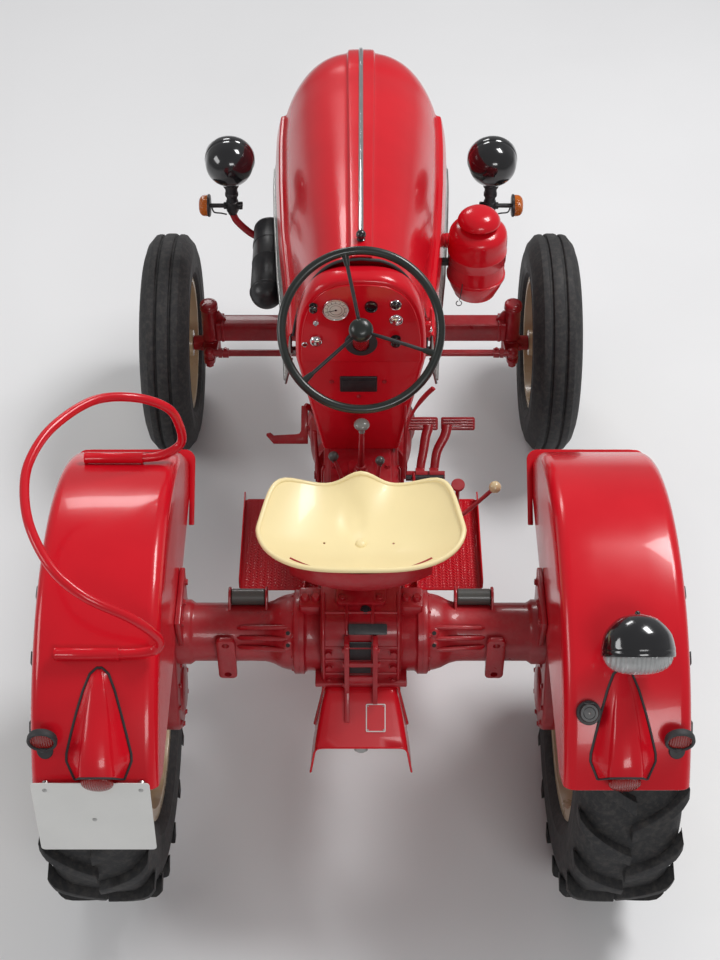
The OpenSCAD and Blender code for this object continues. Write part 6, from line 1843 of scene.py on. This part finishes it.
class TRACTOR_OT_stage(bpy.types.Operator):
    """Adds the floor, the lamps, the world and the camera"""
    bl_idname = "tractor.stage"
    bl_label = "Stage"

    def execute(self, context):
        scene, c = context.scene, context.scene.tractor_colours
        clear()
        bpy.ops.mesh.primitive_plane_add(size=60)
        floor = fresh("floor")
        floor.data.materials.append(surface("floor_pale", c.floor, (0.42, 0.55), 0.98, 0.8, 40, 0.01))
        lamps = (("key", (2.6, 1.6, 5.4), 2.2, 215), ("front", (-1.6, 6.5, 5.0), 2.0, 80),
            ("left", (-5.0, -1.0, 3.4), 2.6, 75), ("back", (1.5, -6.0, 4.5), 2.6, 105))
        for name, place, size, power in lamps:
            bpy.ops.object.light_add(type="AREA", location=place)
            lamp = bpy.context.object
            lamp.name = "lamp_" + name
            lamp.data.shape = "RECTANGLE"
            lamp.data.size, lamp.data.size_y = size, size * 0.6
            lamp.data.energy = power
            aim = Vector((0, 0, 0.6)) - Vector(place)
            lamp.rotation_euler = aim.to_track_quat("-Z", "Y").to_euler()
        world = bpy.data.worlds.new("sky")
        world.use_nodes = True
        world.node_tree.nodes["Background"].inputs["Color"].default_value = (1, 1, 1, 1)
        world.node_tree.nodes["Background"].inputs["Strength"].default_value = 0.3
        scene.world = world
        bpy.ops.object.camera_add(location=CAMERA, rotation=(radians(90 - CAMERA_DOWN), 0, 0))
        camera = bpy.context.object
        camera.data.sensor_fit = "VERTICAL"
        camera.data.sensor_height = SENSOR
        camera.data.lens = CAMERA_FOCUS * SENSOR / CAMERA_PIXELS
        camera.data.shift_x = -1 / CAMERA_PIXELS
        scene.camera = camera
        scene.view_settings.view_transform = "Standard"
        return {"FINISHED"}


PIECES = (TRACTOR_OT_stage, TRACTOR_OT_hood, TRACTOR_OT_trim, TRACTOR_OT_cowl, TRACTOR_OT_fenders,
    TRACTOR_OT_rear_tyres, TRACTOR_OT_front_tyres, TRACTOR_OT_rims, TRACTOR_OT_seat, TRACTOR_OT_steering,
    TRACTOR_OT_rail, TRACTOR_OT_headlamps, TRACTOR_OT_muffler, TRACTOR_OT_cleaner, TRACTOR_OT_tail_lamps,
    TRACTOR_OT_fittings, TRACTOR_OT_controls, TRACTOR_OT_levers, TRACTOR_OT_pedals, TRACTOR_OT_footplates,
    TRACTOR_OT_seat_carrier, TRACTOR_OT_rear_housing, TRACTOR_OT_axles, TRACTOR_OT_hitch,
    TRACTOR_OT_front_axle, TRACTOR_OT_front_support, TRACTOR_OT_engine, TRACTOR_OT_gearbox, TRACTOR_OT_bands,
    TRACTOR_OT_column)


class TRACTOR_PT_pieces(bpy.types.Panel):
    """Lists the sizes, the colours and the pieces"""
    bl_idname = "TRACTOR_PT_pieces"
    bl_label = "Tractor"
    bl_space_type = "VIEW_3D"
    bl_region_type = "UI"
    bl_category = "Tractor"

    def draw(self, context):
        for group in (context.scene.tractor_sizes, context.scene.tractor_colours):
            box = self.layout.box()
            for key in group.__annotations__:
                box.prop(group, key)
        for piece in PIECES:
            self.layout.operator(piece.bl_idname)


CLASSES = (TractorSizes, TractorColours, *PIECES, TRACTOR_PT_pieces)


def register():
    """Registers the classes and hangs the sizes and colours on the scene."""
    for c in CLASSES:
        bpy.utils.register_class(c)
    bpy.types.Scene.tractor_sizes = PointerProperty(type=TractorSizes)
    bpy.types.Scene.tractor_colours = PointerProperty(type=TractorColours)


def unregister():
    """Takes the sizes, the colours and the classes away again."""
    del bpy.types.Scene.tractor_colours, bpy.types.Scene.tractor_sizes
    for c in reversed(CLASSES):
        bpy.utils.unregister_class(c)


def main():
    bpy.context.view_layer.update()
    register()
    for piece in PIECES:
        area, name = piece.bl_idname.split(".")
        getattr(getattr(bpy.ops, area), name)()
    clear()


if __name__ == "__main__":
    main()
